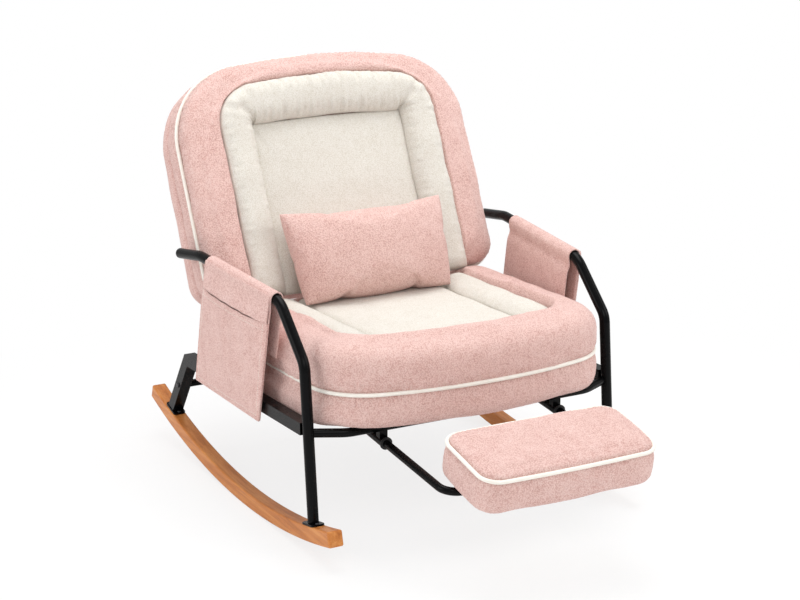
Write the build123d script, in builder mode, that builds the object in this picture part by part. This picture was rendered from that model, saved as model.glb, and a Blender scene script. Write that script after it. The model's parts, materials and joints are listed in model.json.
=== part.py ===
from build123d import *
import math
import os

# Rocking armchair with a reclining back and a pull-out footrest.
# Millimetres, +Z up, floor at Z = 0, the chair faces -Y, symmetric about X = 0.

# Datum: the bend of the front legs
knee_y = -172.65
knee_z = 379.0

# Half the width of the seat, which the arms, rails and back follow
seat_half = 321.0

# Round steel tubes
leg_tube = 22.0
seat_tube = 18.0
cross_tube = 16.0
back_tube = 18.0
footrest_tube = 16.0
tube_wall = 1.5

# Front legs and arms, seen from the datum
seat_side_gap = 24.0
arm_splay = 30.0
foot_ahead = 30.0
shoulder_back = 108.0
shoulder_rise = 100.0
elbow_back = 440.0
elbow_rise = 115.0
arm_end_back = 535.0
arm_end_rise = 100.0
knee_bend = 38.0
shoulder_bend = 60.0
elbow_bend = 90.0
cap_dome = 5.0
cap_plug = 14.0

# Rockers
rocker_radius = 1580.0
rocker_high = 32.0
rocker_wide = 32.0
rocker_behind = 267.0
rocker_front_angle = 14.6
rocker_rear_angle = 18.8
rocker_round = 4.0

# Square tubes: side rails and raked rear legs
square = 25.0
square_wall = 1.8
rail_drop = 128.5
rail_fall = 0.0397
rail_end_back = 577.0
rear_rake = 35.0

# Foot plates and their screws
plate_long = 50.0
plate_wide = 28.0
plate_thick = 4.0
screw_pitch = 37.0
screw_shank = 4.0
screw_head = 8.0
screw_head_high = 2.2
screw_long = 20.0

# Cross tubes of the seat frame
front_tube_ahead = 42.0
front_tube_corner = 60.0
mid_tube_back = 142.0
rear_tube_back = 452.0
brace_back = 618.0
brace_drop = 222.0

# Straps
strap_wide = 46.0
strap_thick = 1.7
seat_strap_count = 5
seat_strap_pitch = 110.0
back_strap_count = 4
back_strap_pitch = 85.0

# Seat cushion
seat_corner = 130.0
seat_corner_back = 34.0
seat_bow = 858.0
seat_rear_back = 445.0
seat_rear_corner = 45.0
seat_bottom = 127.0
seat_seam = 57.0
seat_crest = 36.0
seat_crest_inset = 42.0
seat_border = 84.0
seat_pocket_deep = 45.0
seat_rear_border = 16.0
pocket_ease = 30.0
panel_turn = 30.0
panel_rise = 24.0
panel_edge = 15.0
roll_start = 26.0
roll_wide = 70.0
roll_high = 34.0
piping = 7.0
seam_inset = 8.0

# Backrest
back_lean = 26.0
back_foot_y = 455.0
back_wider = 29.0
back_corner = 175.0
back_corner_up = 340.0
back_bow = 1500.0
back_bottom = 0.0
back_bottom_corner = 60.0
back_pad_deep = 58.0
back_cover_deep = 60.0
back_crest = 48.0
back_crest_inset = 46.0
back_border = 95.0
back_top_border = 60.0
back_pocket_floor = 24.0
bolster_wide = 76.0
bolster_high = 34.0
bolster_bend = 46.0
bolster_corner = 84.0
panel_crown = 12.0
cover_wall = 6.0
top_tube_below = 85.0
low_tube_up = 60.0
back_tube_bend = 70.0

# Backrest hinge
hinge_back = 488.0
hinge_plate = 5.0
hinge_arm_thick = 4.0
hinge_gap = 0.4
hinge_disc = 25.0
hinge_arm_wide = 26.0
hinge_arm_long = 120.0
hinge_foot_gap = 16.0
pin_diameter = 10.0
pin_head = 18.0
pin_head_thick = 3.0
notch = 5.0
notch_count = 5

# Footrest
footrest_x = 200.0
footrest_fall = 5.15
footrest_drop = 164.6
footrest_bar_ahead = 300.0
footrest_bend = 35.0
footrest_engaged = 75.0
guide_tube = 22.0
guide_front_ahead = 58.0
bush_long = 16.0
bush_flange = 26.0
bush_flange_thick = 3.0
hanger_high = 26.0
plug_long = 12.0

# Footrest pad
pad_tilt = 11.8
pad_half = 194.0
pad_deep = 186.0
pad_shift = -22.0
pad_corner = 42.0
pad_under = 13.0
pad_thick = 70.0
pad_crown = 14.0
board_thick = 10.0
board_edge = 24.0
clamp_x = 110.0
clamp_wide = 30.0
clamp_ring = 24.0

# Lumbar pillow
pillow_half = 190.0
pillow_high = 200.0
pillow_low = -44.0
pillow_thick = 134.0
pillow_waist = 9.0
pillow_taper = 18.0
pillow_round = 64.0
pillow_seat = 0.4

# Arm sleeve and side pocket
cloth = 3.0
sleeve_start = 12.0
sleeve_end = 282.0
inner_flap = 130.0
outer_flap = 266.0
pocket_skew = 42.0
pocket_mouth = 52.0
pocket_gap = 10.0
pocket_edge = 4.0

# Clearances
running = 0.06
seat_fit = 0.4
soft_gap = 0.5

# Sizes that follow from those above
arm_front_x = seat_half + seat_side_gap
back_half = seat_half + back_wider
top_tube_up = back_corner_up + back_corner - top_tube_below

os.makedirs("parts", exist_ok=True)
finished = []
low_corners = []
high_corners = []


def keep(block, name):
    # Labels a piece and writes it under its own name.
    block.part.label = name
    finished.append(name)
    box = block.part.bounding_box()
    low_corners.append(box.min)
    high_corners.append(box.max)
    export_step(block.part, f"parts/{name}.step")


def keep_pair(block, name):
    # Writes the right-hand piece and its mirror image.
    keep(block, f"right_{name}")
    with BuildPart() as other:
        add(block.part.mirror(Plane.YZ))
    keep(other, f"left_{name}")


def keep_both(block, name):
    # Writes a small fitting and its mirror image together in one node.
    with BuildPart() as both:
        add(block.part)
        add(block.part.mirror(Plane.YZ))
    keep(both, name)


def at(x, back, up):
    # A point measured from the datum.
    return Vector(x, knee_y + back, knee_z + up)


def bent(points, radii):
    # Straight runs joined by tangent arcs, drawn into the open line block.
    start = points[0]
    for here, after, radius in zip(points[1:-1], points[2:], radii):
        before = (start - here).normalized()
        onward = (after - here).normalized()
        half = math.radians(before.get_angle(onward)) / 2
        reach = radius / math.tan(half)
        middle = (before + onward).normalized() * (radius / math.sin(half) - radius)
        Line(start, here + before * reach)
        ThreePointArc(here + before * reach, here + middle, here + onward * reach)
        start = here + onward * reach
    Line(start, points[-1])


def ring(plane, diameter, wall):
    # A tube's section.
    with BuildSketch(plane) as section:
        Circle(diameter / 2)
        Circle(diameter / 2 - wall, mode=Mode.SUBTRACT)
    return section.sketch


def bowed_outline(half, corner, corner_at, bow, end_at, end_corner, inset, way):
    # A closed outline with one bowed end, large bowed-end corners and a straight end.
    lean = math.asin((half - corner) / (bow - corner))
    bow_at = corner_at + (bow - corner) * math.cos(lean)
    tip = bow_at - (bow - inset)
    big, small = corner - inset, end_corner - inset
    turn = math.pi / 2 - lean
    join = (half - corner + big * math.sin(lean), corner_at - big * math.cos(lean))
    mid = (half - corner + big * math.cos(turn / 2), corner_at - big * math.sin(turn / 2))
    low = end_at - end_corner
    nook = small * math.sqrt(0.5)
    side, rear = half - inset, end_at - inset

    def spot(x, y):
        return (x, way * y)

    ThreePointArc(spot(-join[0], join[1]), spot(0, tip), spot(*join))
    ThreePointArc(spot(*join), spot(*mid), spot(side, corner_at))
    Line(spot(side, corner_at), spot(side, low))
    ThreePointArc(spot(side, low), spot(half - end_corner + nook, low + nook), spot(half - end_corner, rear))
    Line(spot(half - end_corner, rear), spot(end_corner - half, rear))
    ThreePointArc(spot(end_corner - half, rear), spot(end_corner - half - nook, low + nook), spot(-side, low))
    Line(spot(-side, low), spot(-side, corner_at))
    ThreePointArc(spot(-side, corner_at), spot(-mid[0], mid[1]), spot(-join[0], join[1]))


def seat_outline(inset):
    bowed_outline(
        seat_half, seat_corner, seat_corner_back, seat_bow, seat_rear_back, seat_rear_corner, inset, 1
    )


def back_outline(inset):
    bowed_outline(
        back_half, back_corner, -back_corner_up, back_bow, -back_bottom, back_bottom_corner, inset, -1
    )


# Planes that the soft pieces are drawn on
seat_tilt = math.atan(rail_fall)
seat_plane = Plane(at(0, 0, 0), x_dir=(1, 0, 0), z_dir=(0, math.sin(seat_tilt), math.cos(seat_tilt)))
lean = math.radians(back_lean)
back_plane = Plane(
    at(0, back_foot_y, 0), x_dir=(1, 0, 0), z_dir=(0, -math.cos(lean), math.sin(lean))
)
fall = math.radians(footrest_fall)
slide_way = Vector(0, math.cos(fall), math.sin(fall))


def slide_point(x, back):
    # A point on a footrest tube's centre line.
    return at(x, back, -footrest_drop + (back + front_tube_ahead) * math.tan(fall))


tilt = math.radians(pad_tilt)
bar_centre = slide_point(0, -footrest_bar_ahead)
pad_plane = Plane(bar_centre, x_dir=(1, 0, 0), z_dir=(0, -math.sin(tilt), math.cos(tilt)))


def rail_under(back):
    # Height of the rail's lower face above the datum.
    return -rail_drop - square / 2 - rail_fall * back


# Hinge axis on the rail's centre line; the back frame's plane passes through it
rail_inside = arm_front_x - square / 2
hinge_up = rail_under(hinge_back) + square / 2
hinge_centre = at(0, hinge_back, hinge_up)
hinge_centre_local = back_plane.to_local_coords(hinge_centre)
frame_out = hinge_centre_local.Z
arm_plate_x = rail_inside - hinge_plate - hinge_gap - hinge_arm_thick
back_tube_x = arm_plate_x - back_tube / 2


# Rockers: bent laminated wood
rocker_y = knee_y + rocker_behind
inner_radius = rocker_radius - rocker_high


def on_arc(radius, degrees):
    turn = math.radians(degrees)
    return (rocker_y + radius * math.sin(turn), rocker_radius - radius * math.cos(turn))



# Foot plates lie on the rockers, square to the arc
def foot_plane(back):
    turn = math.asin((back - rocker_behind) / inner_radius)
    lift = plate_long**2 / (8 * inner_radius) + 0.05
    y, z = on_arc(inner_radius - lift, math.degrees(turn))
    return Plane(
        (arm_front_x, y, z), x_dir=(1, 0, 0), z_dir=(0, -math.sin(turn), math.cos(turn))
    )


mitre_run = math.tan(math.radians(rear_rake))
leg_top_back = rail_end_back - square * math.cos(math.radians(rear_rake)) / 2
leg_top_up = rail_under(rail_end_back) + square - square * math.sin(math.radians(rear_rake)) / 2
rear_foot_back = rail_end_back
for step in range(20):
    rocker_top = rocker_radius - math.sqrt(inner_radius**2 - (rear_foot_back - rocker_behind) ** 2)
    rear_leg_drop = knee_z + leg_top_up - rocker_top - plate_thick
    rear_foot_back = leg_top_back + rear_leg_drop * mitre_run
rear_leg_long = 2 * rear_leg_drop
front_foot = foot_plane(-foot_ahead)
rear_foot = foot_plane(rear_foot_back)

with BuildPart() as rocker:
    with BuildSketch(Plane.YZ.offset(arm_front_x - rocker_wide / 2)):
        with BuildLine():
            ThreePointArc(
                on_arc(rocker_radius, -rocker_front_angle),
                on_arc(rocker_radius, 0),
                on_arc(rocker_radius, rocker_rear_angle),
            )
            Line(on_arc(rocker_radius, rocker_rear_angle), on_arc(inner_radius, rocker_rear_angle))
            ThreePointArc(
                on_arc(inner_radius, rocker_rear_angle),
                on_arc(inner_radius, 0),
                on_arc(inner_radius, -rocker_front_angle),
            )
            Line(on_arc(inner_radius, -rocker_front_angle), on_arc(rocker_radius, -rocker_front_angle))
        make_face()
    extrude(amount=rocker_wide)
    fillet(rocker.edges(), radius=rocker_round)
    for plane in (front_foot, rear_foot):
        with BuildSketch(plane.offset(plate_thick)):
            with Locations((0, -screw_pitch / 2), (0, screw_pitch / 2)):
                Circle(screw_shank / 2 + running)
        extrude(amount=-screw_long - 0.5, mode=Mode.SUBTRACT)
keep_pair(rocker, "rocker")


def foot_plate(plane):
    with BuildPart() as plate:
        with BuildSketch(plane):
            RectangleRounded(plate_wide, plate_long, 6.0)
        extrude(amount=plate_thick)
        with Locations(Plane(plane.origin + plane.z_dir * plate_thick, x_dir=plane.x_dir, z_dir=plane.z_dir)):
            with Locations((0, -screw_pitch / 2), (0, screw_pitch / 2)):
                Hole(screw_shank / 2 + seat_fit)
    return plate


keep_pair(foot_plate(front_foot), "front_foot_plate")
keep_pair(foot_plate(rear_foot), "rear_foot_plate")

# Countersunk-style screws through the plates into the wood, all alike
with BuildPart() as rocker_screws:
    for plane in (front_foot, rear_foot):
        for side in (1, -1):
            for along in (-screw_pitch / 2, screw_pitch / 2):
                top = plane.origin + plane.z_dir * plate_thick + plane.y_dir * along
                seat = Plane((side * top.X, top.Y, top.Z), x_dir=(1, 0, 0), z_dir=plane.z_dir)
                with BuildSketch(seat):
                    Circle(screw_head / 2)
                extrude(amount=screw_head_high, taper=25)
                with BuildSketch(seat):
                    Circle(screw_shank / 2)
                extrude(amount=-screw_long)
keep(rocker_screws, "rocker_screws")

# Front leg and arm: one bent tube on each side
leg_low = at(arm_front_x, -foot_ahead * 1.1, -knee_z + rocker_high)
arm_points = [
    leg_low,
    at(arm_front_x, 0, 0),
    at(arm_front_x, shoulder_back, shoulder_rise),
    at(arm_front_x + arm_splay * 0.8, elbow_back, elbow_rise),
    at(arm_front_x + arm_splay, arm_end_back, arm_end_rise),
]
front_top = Plane(
    front_foot.origin + front_foot.z_dir * plate_thick, x_dir=front_foot.x_dir, z_dir=front_foot.z_dir
)
rear_top = Plane(
    rear_foot.origin + rear_foot.z_dir * plate_thick, x_dir=rear_foot.x_dir, z_dir=rear_foot.z_dir
)
with BuildPart() as arm_tube:
    with BuildLine() as arm_path:
        bent(arm_points, [knee_bend, shoulder_bend, elbow_bend])
    sweep(ring(Plane(arm_path.line @ 0, z_dir=arm_path.line % 0), leg_tube, tube_wall))
    split(bisect_by=front_top, keep=Keep.TOP)
keep_pair(arm_tube, "arm_tube")

arm_end = arm_path.line @ 1
arm_end_way = arm_path.line % 1
with BuildPart() as arm_cap:
    with BuildSketch(Plane(arm_end, z_dir=arm_end_way)):
        Circle(leg_tube / 2)
    extrude(amount=cap_dome)
    fillet(arm_cap.faces().sort_by(SortBy.DISTANCE)[-1].edges(), radius=cap_dome * 0.9)
    with BuildSketch(Plane(arm_end, z_dir=arm_end_way)):
        Circle(leg_tube / 2 - tube_wall - running)
    extrude(amount=-cap_plug)
keep_both(arm_cap, "arm_caps")

# Side rail and raked rear leg, mitred together
rake = math.radians(rear_rake)
leg_way = Vector(0, math.sin(rake), -math.cos(rake))
corner = Vector(0, rail_end_back, rail_under(rail_end_back) + square)
leg_face = corner + Vector(0, -math.cos(rake), -math.sin(rake)) * square
meet = (leg_face.Z + leg_face.Y * math.cos(rake) / math.sin(rake) - rail_under(0)) / (
    math.cos(rake) / math.sin(rake) - rail_fall
)
inner_corner = Vector(0, meet, rail_under(meet))
leg_at_rail = -foot_ahead * rail_drop / (knee_z - rocker_high)
rail_front = leg_at_rail + leg_tube * 0.42


def side_shape(corners, wide):
    # A plate seen from the side, centred on the rail's line.
    with BuildSketch(Plane.YZ.offset(arm_front_x - wide / 2)) as shape:
        with BuildLine():
            Polyline(*[(knee_y + c[0], knee_z + c[1]) for c in corners], close=True)
        make_face()
    return shape.sketch


leg_rise = arm_points[1] - arm_points[0]
leg_low_long = leg_rise.length


def leg_section(side):
    # The plane across the foot of a front leg, for cutting round it.
    return Plane(
        (side * leg_low.X, leg_low.Y, leg_low.Z), x_dir=(1, 0, 0), z_dir=leg_rise.normalized()
    )


with BuildPart() as side_rail:
    extrude(
        side_shape(
            [
                (rail_front, rail_under(rail_front)),
                (inner_corner.Y, inner_corner.Z),
                (corner.Y, corner.Z),
                (rail_front, rail_under(rail_front) + square),
            ],
            square,
        ),
        amount=square,
    )
    bore = square - 2 * square_wall
    extrude(
        side_shape(
            [
                (rail_front - 5, rail_under(rail_front - 5) + square_wall),
                (rail_end_back + 20, rail_under(rail_end_back + 20) + square_wall),
                (rail_end_back + 20, rail_under(rail_end_back + 20) + square - square_wall),
                (rail_front - 5, rail_under(rail_front - 5) + square - square_wall),
            ],
            bore,
        ),
        amount=bore,
        mode=Mode.SUBTRACT,
    )
    with BuildSketch(leg_section(1)):
        Circle(leg_tube / 2 + running)
    extrude(amount=leg_low_long, mode=Mode.SUBTRACT)
keep_pair(side_rail, "side_rail")

with BuildPart() as rear_leg:
    extrude(
        side_shape(
            [
                (corner.Y, corner.Z),
                (corner.Y + leg_way.Y * rear_leg_long, corner.Z + leg_way.Z * rear_leg_long),
                (leg_face.Y + leg_way.Y * rear_leg_long, leg_face.Z + leg_way.Z * rear_leg_long),
                (inner_corner.Y, inner_corner.Z),
            ],
            square,
        ),
        amount=square,
    )
    inward = Vector(0, -math.cos(rake), -math.sin(rake))
    high = corner + inward * square_wall - leg_way * 30
    low = high + inward * bore
    extrude(
        side_shape(
            [
                (high.Y, high.Z),
                (high.Y + leg_way.Y * (rear_leg_long + 60), high.Z + leg_way.Z * (rear_leg_long + 60)),
                (low.Y + leg_way.Y * (rear_leg_long + 60), low.Z + leg_way.Z * (rear_leg_long + 60)),
                (low.Y, low.Z),
            ],
            bore,
        ),
        amount=bore,
        mode=Mode.SUBTRACT,
    )
    split(bisect_by=rear_top, keep=Keep.TOP)
keep_pair(rear_leg, "rear_leg")

# Straight cross tubes between the two sides

def cross(back, up, diameter):
    with BuildPart() as tube:
        end = Plane(at(-rail_inside, back, up), x_dir=(0, 1, 0), z_dir=(1, 0, 0))
        extrude(ring(end, diameter, tube_wall), amount=2 * rail_inside)
    return tube


strap_under = -seat_bottom - soft_gap - strap_thick


def tube_under_straps(back, diameter):
    return strap_under - rail_fall * back - diameter / 2 - 0.3


brace = cross(brace_back, -brace_drop, cross_tube)
keep(brace, "rear_cross_brace")
mid_tube_up = tube_under_straps(mid_tube_back, cross_tube)
keep(cross(mid_tube_back, mid_tube_up, cross_tube), "mid_seat_tube")
rear_tube_up = tube_under_straps(rear_tube_back, cross_tube)
keep(cross(rear_tube_back, rear_tube_up, cross_tube), "rear_seat_tube")

# Front seat tube, bowed forward and let into the front legs
front_tube_up = tube_under_straps(-front_tube_ahead, seat_tube)
leg_side = arm_front_x - leg_tube / 2 + 1.0
with BuildPart() as front_seat_tube:
    with BuildLine() as front_path:
        bent(
            [
                at(-leg_side, leg_at_rail, front_tube_up),
                at(-leg_side + front_tube_corner, -front_tube_ahead, front_tube_up),
                at(leg_side - front_tube_corner, -front_tube_ahead, front_tube_up),
                at(leg_side, leg_at_rail, front_tube_up),
            ],
            [front_tube_corner, front_tube_corner],
        )
    sweep(ring(Plane(front_path.line @ 0, z_dir=front_path.line % 0), seat_tube, tube_wall))
    for side in (-1, 1):
        with BuildSketch(leg_section(side)):
            Circle(leg_tube / 2 + running)
        extrude(amount=leg_low_long, mode=Mode.SUBTRACT)
keep(front_seat_tube, "front_seat_tube")

# Elastic straps from the front tube to the rear tube
strap_from = -front_tube_ahead - seat_tube / 4
strap_long = rear_tube_back - strap_from
with BuildPart() as seat_straps:
    with BuildSketch(seat_plane.offset(strap_under)):
        with GridLocations(seat_strap_pitch, 1, seat_strap_count, 1):
            with Locations((0, strap_from + strap_long / 2)):
                Rectangle(strap_wide, strap_long)
    extrude(amount=strap_thick)
keep(seat_straps, "seat_straps")

# Seat cushion: crowned, drawn in at the seam, with a sunk place for the cream panel
seat_stack = [
    (-seat_bottom, 20.0),
    (-seat_bottom + 4, 11.0),
    (-seat_bottom + 11, 4.5),
    (-seat_bottom + 21, 1.0),
    (-seat_bottom + 35, 0.0),
    (-seat_seam - 21, 1.0),
    (-seat_seam - 9, seam_inset / 2),
    (-seat_seam, seam_inset),
    (-seat_seam + 9, seam_inset / 2),
    (-seat_seam + 21, 0.8),
    (seat_crest - 43, 0.0),
    (seat_crest - 29, 2.5),
    (seat_crest - 18, 8.0),
    (seat_crest - 9, 17.0),
    (seat_crest - 3, 29.0),
    (seat_crest, seat_crest_inset),
]
pocket_floor = seat_crest - seat_pocket_deep
panel_half = seat_half - seat_border
pocket_corner = seat_corner - seat_border + pocket_ease
pocket_corner_back = seat_corner_back + pocket_ease


def seat_pocket_shape(gap):
    bowed_outline(
        panel_half,
        pocket_corner,
        pocket_corner_back,
        seat_bow,
        seat_rear_back - seat_rear_border,
        pocket_ease,
        gap,
        1,
    )


with BuildPart() as seat_cushion:
    for height, inset in seat_stack:
        with BuildSketch(seat_plane.offset(height)):
            with BuildLine():
                seat_outline(inset)
            make_face()
    loft(ruled=True)
    for height, inset in ((0, 0), (seat_pocket_deep + 5, -7.0)):
        with BuildSketch(seat_plane.offset(pocket_floor + height)):
            with BuildLine():
                seat_pocket_shape(inset)
            make_face()
    loft(ruled=True, mode=Mode.SUBTRACT)
keep(seat_cushion, "seat_cushion")

roll_centre = panel_half - seat_fit - roll_wide / 2
inner_half = panel_half - roll_wide - 2 * seat_fit


def bow_depth(half, corner):
    # How far a bowed end stands out in front of its corners' centres.
    spread = math.asin((half - corner) / (seat_bow - corner))
    return seat_bow - (seat_bow - corner) * math.cos(spread)


panel_corner_back = (
    pocket_corner_back - bow_depth(panel_half, pocket_corner) + bow_depth(inner_half, panel_turn)
)


def inner_outline(inset):
    bowed_outline(
        inner_half,
        panel_turn,
        panel_corner_back,
        seat_bow,
        seat_rear_back - seat_rear_border,
        panel_turn * 0.8,
        inset,
        1,
    )


with BuildPart() as seat_panel:
    panel_stack = [(panel_rise * 0.33, seat_fit)]
    for up, edge in ((0.62, 0.13), (0.83, 0.4), (1.0, 1.0)):
        panel_stack.append((panel_rise * up, panel_edge * edge))
    for height, inset in [(soft_gap, panel_edge * 0.13)] + panel_stack:
        with BuildSketch(seat_plane.offset(pocket_floor + height)):
            with BuildLine():
                inner_outline(inset)
            make_face()
    loft(ruled=True)
keep(seat_panel, "seat_panel")

roll_front = pocket_corner_back - roll_start
roll_rear = seat_rear_back - seat_rear_border - panel_turn * 0.8
roll_taper = roll_wide * 0.52
with BuildPart() as seat_roll:
    spots = (
        (roll_front, 0.62),
        (roll_front + roll_taper, 0.95),
        ((roll_front + roll_rear) / 2, 1.0),
        (roll_rear - roll_taper, 0.95),
        (roll_rear, 0.62),
    )
    for along, share in spots:
        half = roll_wide / 2 * share
        base = seat_plane.origin + seat_plane.y_dir * along + seat_plane.z_dir * (pocket_floor + soft_gap)
        with BuildSketch(
            Plane(base + Vector(roll_centre, 0, 0), x_dir=(1, 0, 0), z_dir=-seat_plane.y_dir)
        ):
            with BuildLine():
                Line((-half, 0), (half, 0))
                Line((half, 0), (half, roll_high * 0.4 * share))
                ThreePointArc(
                    (half, roll_high * 0.4 * share),
                    (0, roll_high * share * 1.3),
                    (-half, roll_high * 0.4 * share),
                )
                Line((-half, roll_high * 0.4 * share), (-half, 0))
            make_face()
    loft(ruled=True)
keep_pair(seat_roll, "seat_roll")


# Piping: a cord sewn into a seam, drawn as a tube along the outline
cord_inset = seam_inset - piping / 2 - soft_gap
with BuildPart() as seat_piping:
    with BuildLine(seat_plane.offset(-seat_seam)) as seat_cord:
        seat_outline(cord_inset)
    with BuildSketch(Plane(seat_cord.line @ 0, z_dir=seat_cord.line % 0)):
        Circle(piping / 2)
    sweep()
keep(seat_piping, "seat_piping")


def back_point(x, up, out):
    # A point measured on the backrest's front plane.
    return back_plane.origin + back_plane.x_dir * x + back_plane.y_dir * up + back_plane.z_dir * out


# Backrest cushion: puffed pink border round a sunk place for the cream parts
back_stack = [
    (-back_pad_deep, 8.0),
    (-back_pad_deep + 6, 3.0),
    (-back_pad_deep + 16, 0.5),
    (-back_pad_deep / 2, 0.0),
    (-14.0, 2.0),
    (-6.0, seam_inset * 0.6),
    (0.0, seam_inset),
    (6.0, seam_inset * 0.7),
    (back_crest - 18, 8.0),
    (back_crest - 10, 16.0),
    (back_crest - 4, 28.0),
    (back_crest, back_crest_inset),
]
bolster_half = back_half - back_border
bolster_top = back_corner_up + back_corner - back_top_border
bolster_foot = back_bottom + 4.0


def back_pocket_shape(inset):
    bowed_outline(
        bolster_half,
        bolster_corner,
        bolster_corner - bolster_top,
        back_bow,
        -bolster_foot,
        10.0,
        inset,
        -1,
    )


with BuildPart() as back_cushion:
    for out, inset in back_stack:
        with BuildSketch(back_plane.offset(out)):
            with BuildLine():
                back_outline(inset)
            make_face()
    loft(ruled=True)
    for out, inset in ((0, 0), (back_crest, -6.0)):
        with BuildSketch(back_plane.offset(back_pocket_floor + out)):
            with BuildLine():
                back_pocket_shape(inset)
            make_face()
    loft(ruled=True, mode=Mode.SUBTRACT)
keep(back_cushion, "back_cushion")

# Cream bolster: one roll up the left side, across the top and down the right side
roll_line = bolster_half - bolster_wide / 2 - seat_fit
roll_top = bolster_top - bolster_wide / 2 - 8.0
bolster_end = bolster_foot + 10.0
bolster_floor = back_pocket_floor + soft_gap
with BuildPart() as back_bolster:
    with BuildLine() as bolster_path:
        bent(
            [
                back_point(-roll_line, bolster_end, bolster_floor),
                back_point(-roll_line, roll_top, bolster_floor),
                back_point(roll_line, roll_top, bolster_floor),
                back_point(roll_line, bolster_end, bolster_floor),
            ],
            [bolster_bend, bolster_bend],
        )
    half = bolster_wide / 2
    with BuildSketch(
        Plane(bolster_path.line @ 0, x_dir=back_plane.x_dir, z_dir=back_plane.y_dir)
    ):
        with BuildLine():
            Line((-half, 0), (half, 0))
            Line((half, 0), (half, -bolster_high * 0.3))
            ThreePointArc(
                (half, -bolster_high * 0.3), (0, -bolster_high), (-half, -bolster_high * 0.3)
            )
            Line((-half, -bolster_high * 0.3), (-half, 0))
        make_face()
    sweep()
keep(back_bolster, "back_bolster")

# Cream inner panel inside the bolster
panel_side = roll_line - bolster_wide / 2 - seat_fit
panel_top = roll_top - bolster_wide / 2 - seat_fit
panel_corner = bolster_bend - bolster_wide / 2 + panel_edge + 1.0


def panel_outline(inset):
    bowed_outline(
        panel_side,
        panel_corner,
        panel_corner - panel_top,
        back_bow * 8,
        -bolster_end,
        panel_edge * 1.3,
        inset,
        -1,
    )


with BuildPart() as back_panel:
    back_panel_stack = (
        (soft_gap, panel_edge * 0.07),
        (panel_crown * 0.33, seat_fit),
        (panel_crown * 0.8, panel_edge * 0.33),
        (panel_crown, panel_edge),
    )
    for out, inset in back_panel_stack:
        with BuildSketch(back_plane.offset(back_pocket_floor + out)):
            with BuildLine():
                panel_outline(inset)
            make_face()
    loft(ruled=True)
keep(back_panel, "back_panel")

# Rear cover: a soft shell over the frame, closed in front by the cushion
cover_front = -back_pad_deep - soft_gap
cover_rear = cover_front - back_cover_deep
with BuildPart() as back_cover:
    for out, inset in (
        (cover_front, 8.0),
        (cover_front - 4, 4.0),
        (cover_front - 14, 1.0),
        (cover_front - 28, 2.0),
        (cover_rear + 18, 8.0),
        (cover_rear + 8, 18.0),
        (cover_rear + 2, 32.0),
        (cover_rear, 46.0),
    ):
        with BuildSketch(back_plane.offset(out)):
            with BuildLine():
                back_outline(inset)
            make_face()
    loft(ruled=True)
    with BuildSketch(back_plane.offset(cover_front)):
        with BuildLine():
            back_outline(18.0 + cover_wall)
        make_face()
    extrude(amount=-(back_cover_deep - cover_wall), mode=Mode.SUBTRACT)
    with Locations(Plane(back_point(0, back_bottom, frame_out), x_dir=(1, 0, 0), z_dir=back_plane.y_dir)):
        with Locations((back_tube_x, 0), (-back_tube_x, 0)):
            Cylinder(back_tube / 2 + 3.0, 180.0, mode=Mode.SUBTRACT)
keep(back_cover, "back_cover")

# Back frame: two uprights, a bent top tube and a lower cross tube
hinge_s = hinge_centre_local.Y
tube_foot = hinge_s + hinge_foot_gap
with BuildPart() as back_upright:
    extrude(
        ring(
            Plane(back_point(back_tube_x, tube_foot, frame_out), x_dir=(1, 0, 0), z_dir=back_plane.y_dir),
            back_tube,
            tube_wall,
        ),
        amount=top_tube_up - back_tube_bend - tube_foot,
    )
keep_pair(back_upright, "back_upright")

with BuildPart() as back_top_tube:
    with BuildLine() as top_path:
        bent(
            [
                back_point(-back_tube_x, top_tube_up - back_tube_bend, frame_out),
                back_point(-back_tube_x, top_tube_up, frame_out),
                back_point(back_tube_x, top_tube_up, frame_out),
                back_point(back_tube_x, top_tube_up - back_tube_bend, frame_out),
            ],
            [back_tube_bend - 0.01, back_tube_bend - 0.01],
        )
    sweep(ring(Plane(top_path.line @ 0, z_dir=top_path.line % 0), back_tube, tube_wall))
keep(back_top_tube, "back_top_tube")

cross_reach = back_tube_x - back_tube / 2
with BuildPart() as back_low_tube:
    extrude(
        ring(
            Plane(back_point(-cross_reach, low_tube_up, frame_out), x_dir=(0, 1, 0), z_dir=(1, 0, 0)),
            cross_tube,
            tube_wall,
        ),
        amount=2 * cross_reach,
    )
keep(back_low_tube, "back_low_tube")

# Back straps run across, in front of the uprights
strap_plane = frame_out + back_tube / 2
with BuildPart() as back_straps:
    with BuildSketch(back_plane.offset(strap_plane)):
        with Locations((0, (low_tube_up + top_tube_up - back_tube_bend) / 2 + 20.0)):
            with GridLocations(1, back_strap_pitch, 1, back_strap_count):
                Rectangle(2 * back_tube_x + back_tube * 0.6, strap_wide)
    extrude(amount=strap_thick)
keep(back_straps, "back_straps")

# Back piping in the front seam
with BuildPart() as back_piping:
    with BuildLine(back_plane) as back_cord:
        back_outline(cord_inset)
    with BuildSketch(Plane(back_cord.line @ 0, z_dir=back_cord.line % 0)):
        Circle(piping / 2)
    sweep()
keep(back_piping, "back_piping")

# Hinge: a notched plate on the rail, a pin through it and an arm on the upright
plate_x = rail_inside - hinge_plate
with BuildPart() as hinge_plate_part:
    with BuildSketch(Plane(hinge_centre + Vector(plate_x, 0, 0), x_dir=(0, 1, 0), z_dir=(1, 0, 0))):
        Circle(hinge_disc)
        with PolarLocations(hinge_disc, notch_count, start_angle=70.0, angular_range=120.0):
            Circle(notch / 2, mode=Mode.SUBTRACT)
        Circle(pin_diameter / 2 + running, mode=Mode.SUBTRACT)
    extrude(amount=hinge_plate)
keep_pair(hinge_plate_part, "hinge_plate")

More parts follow.
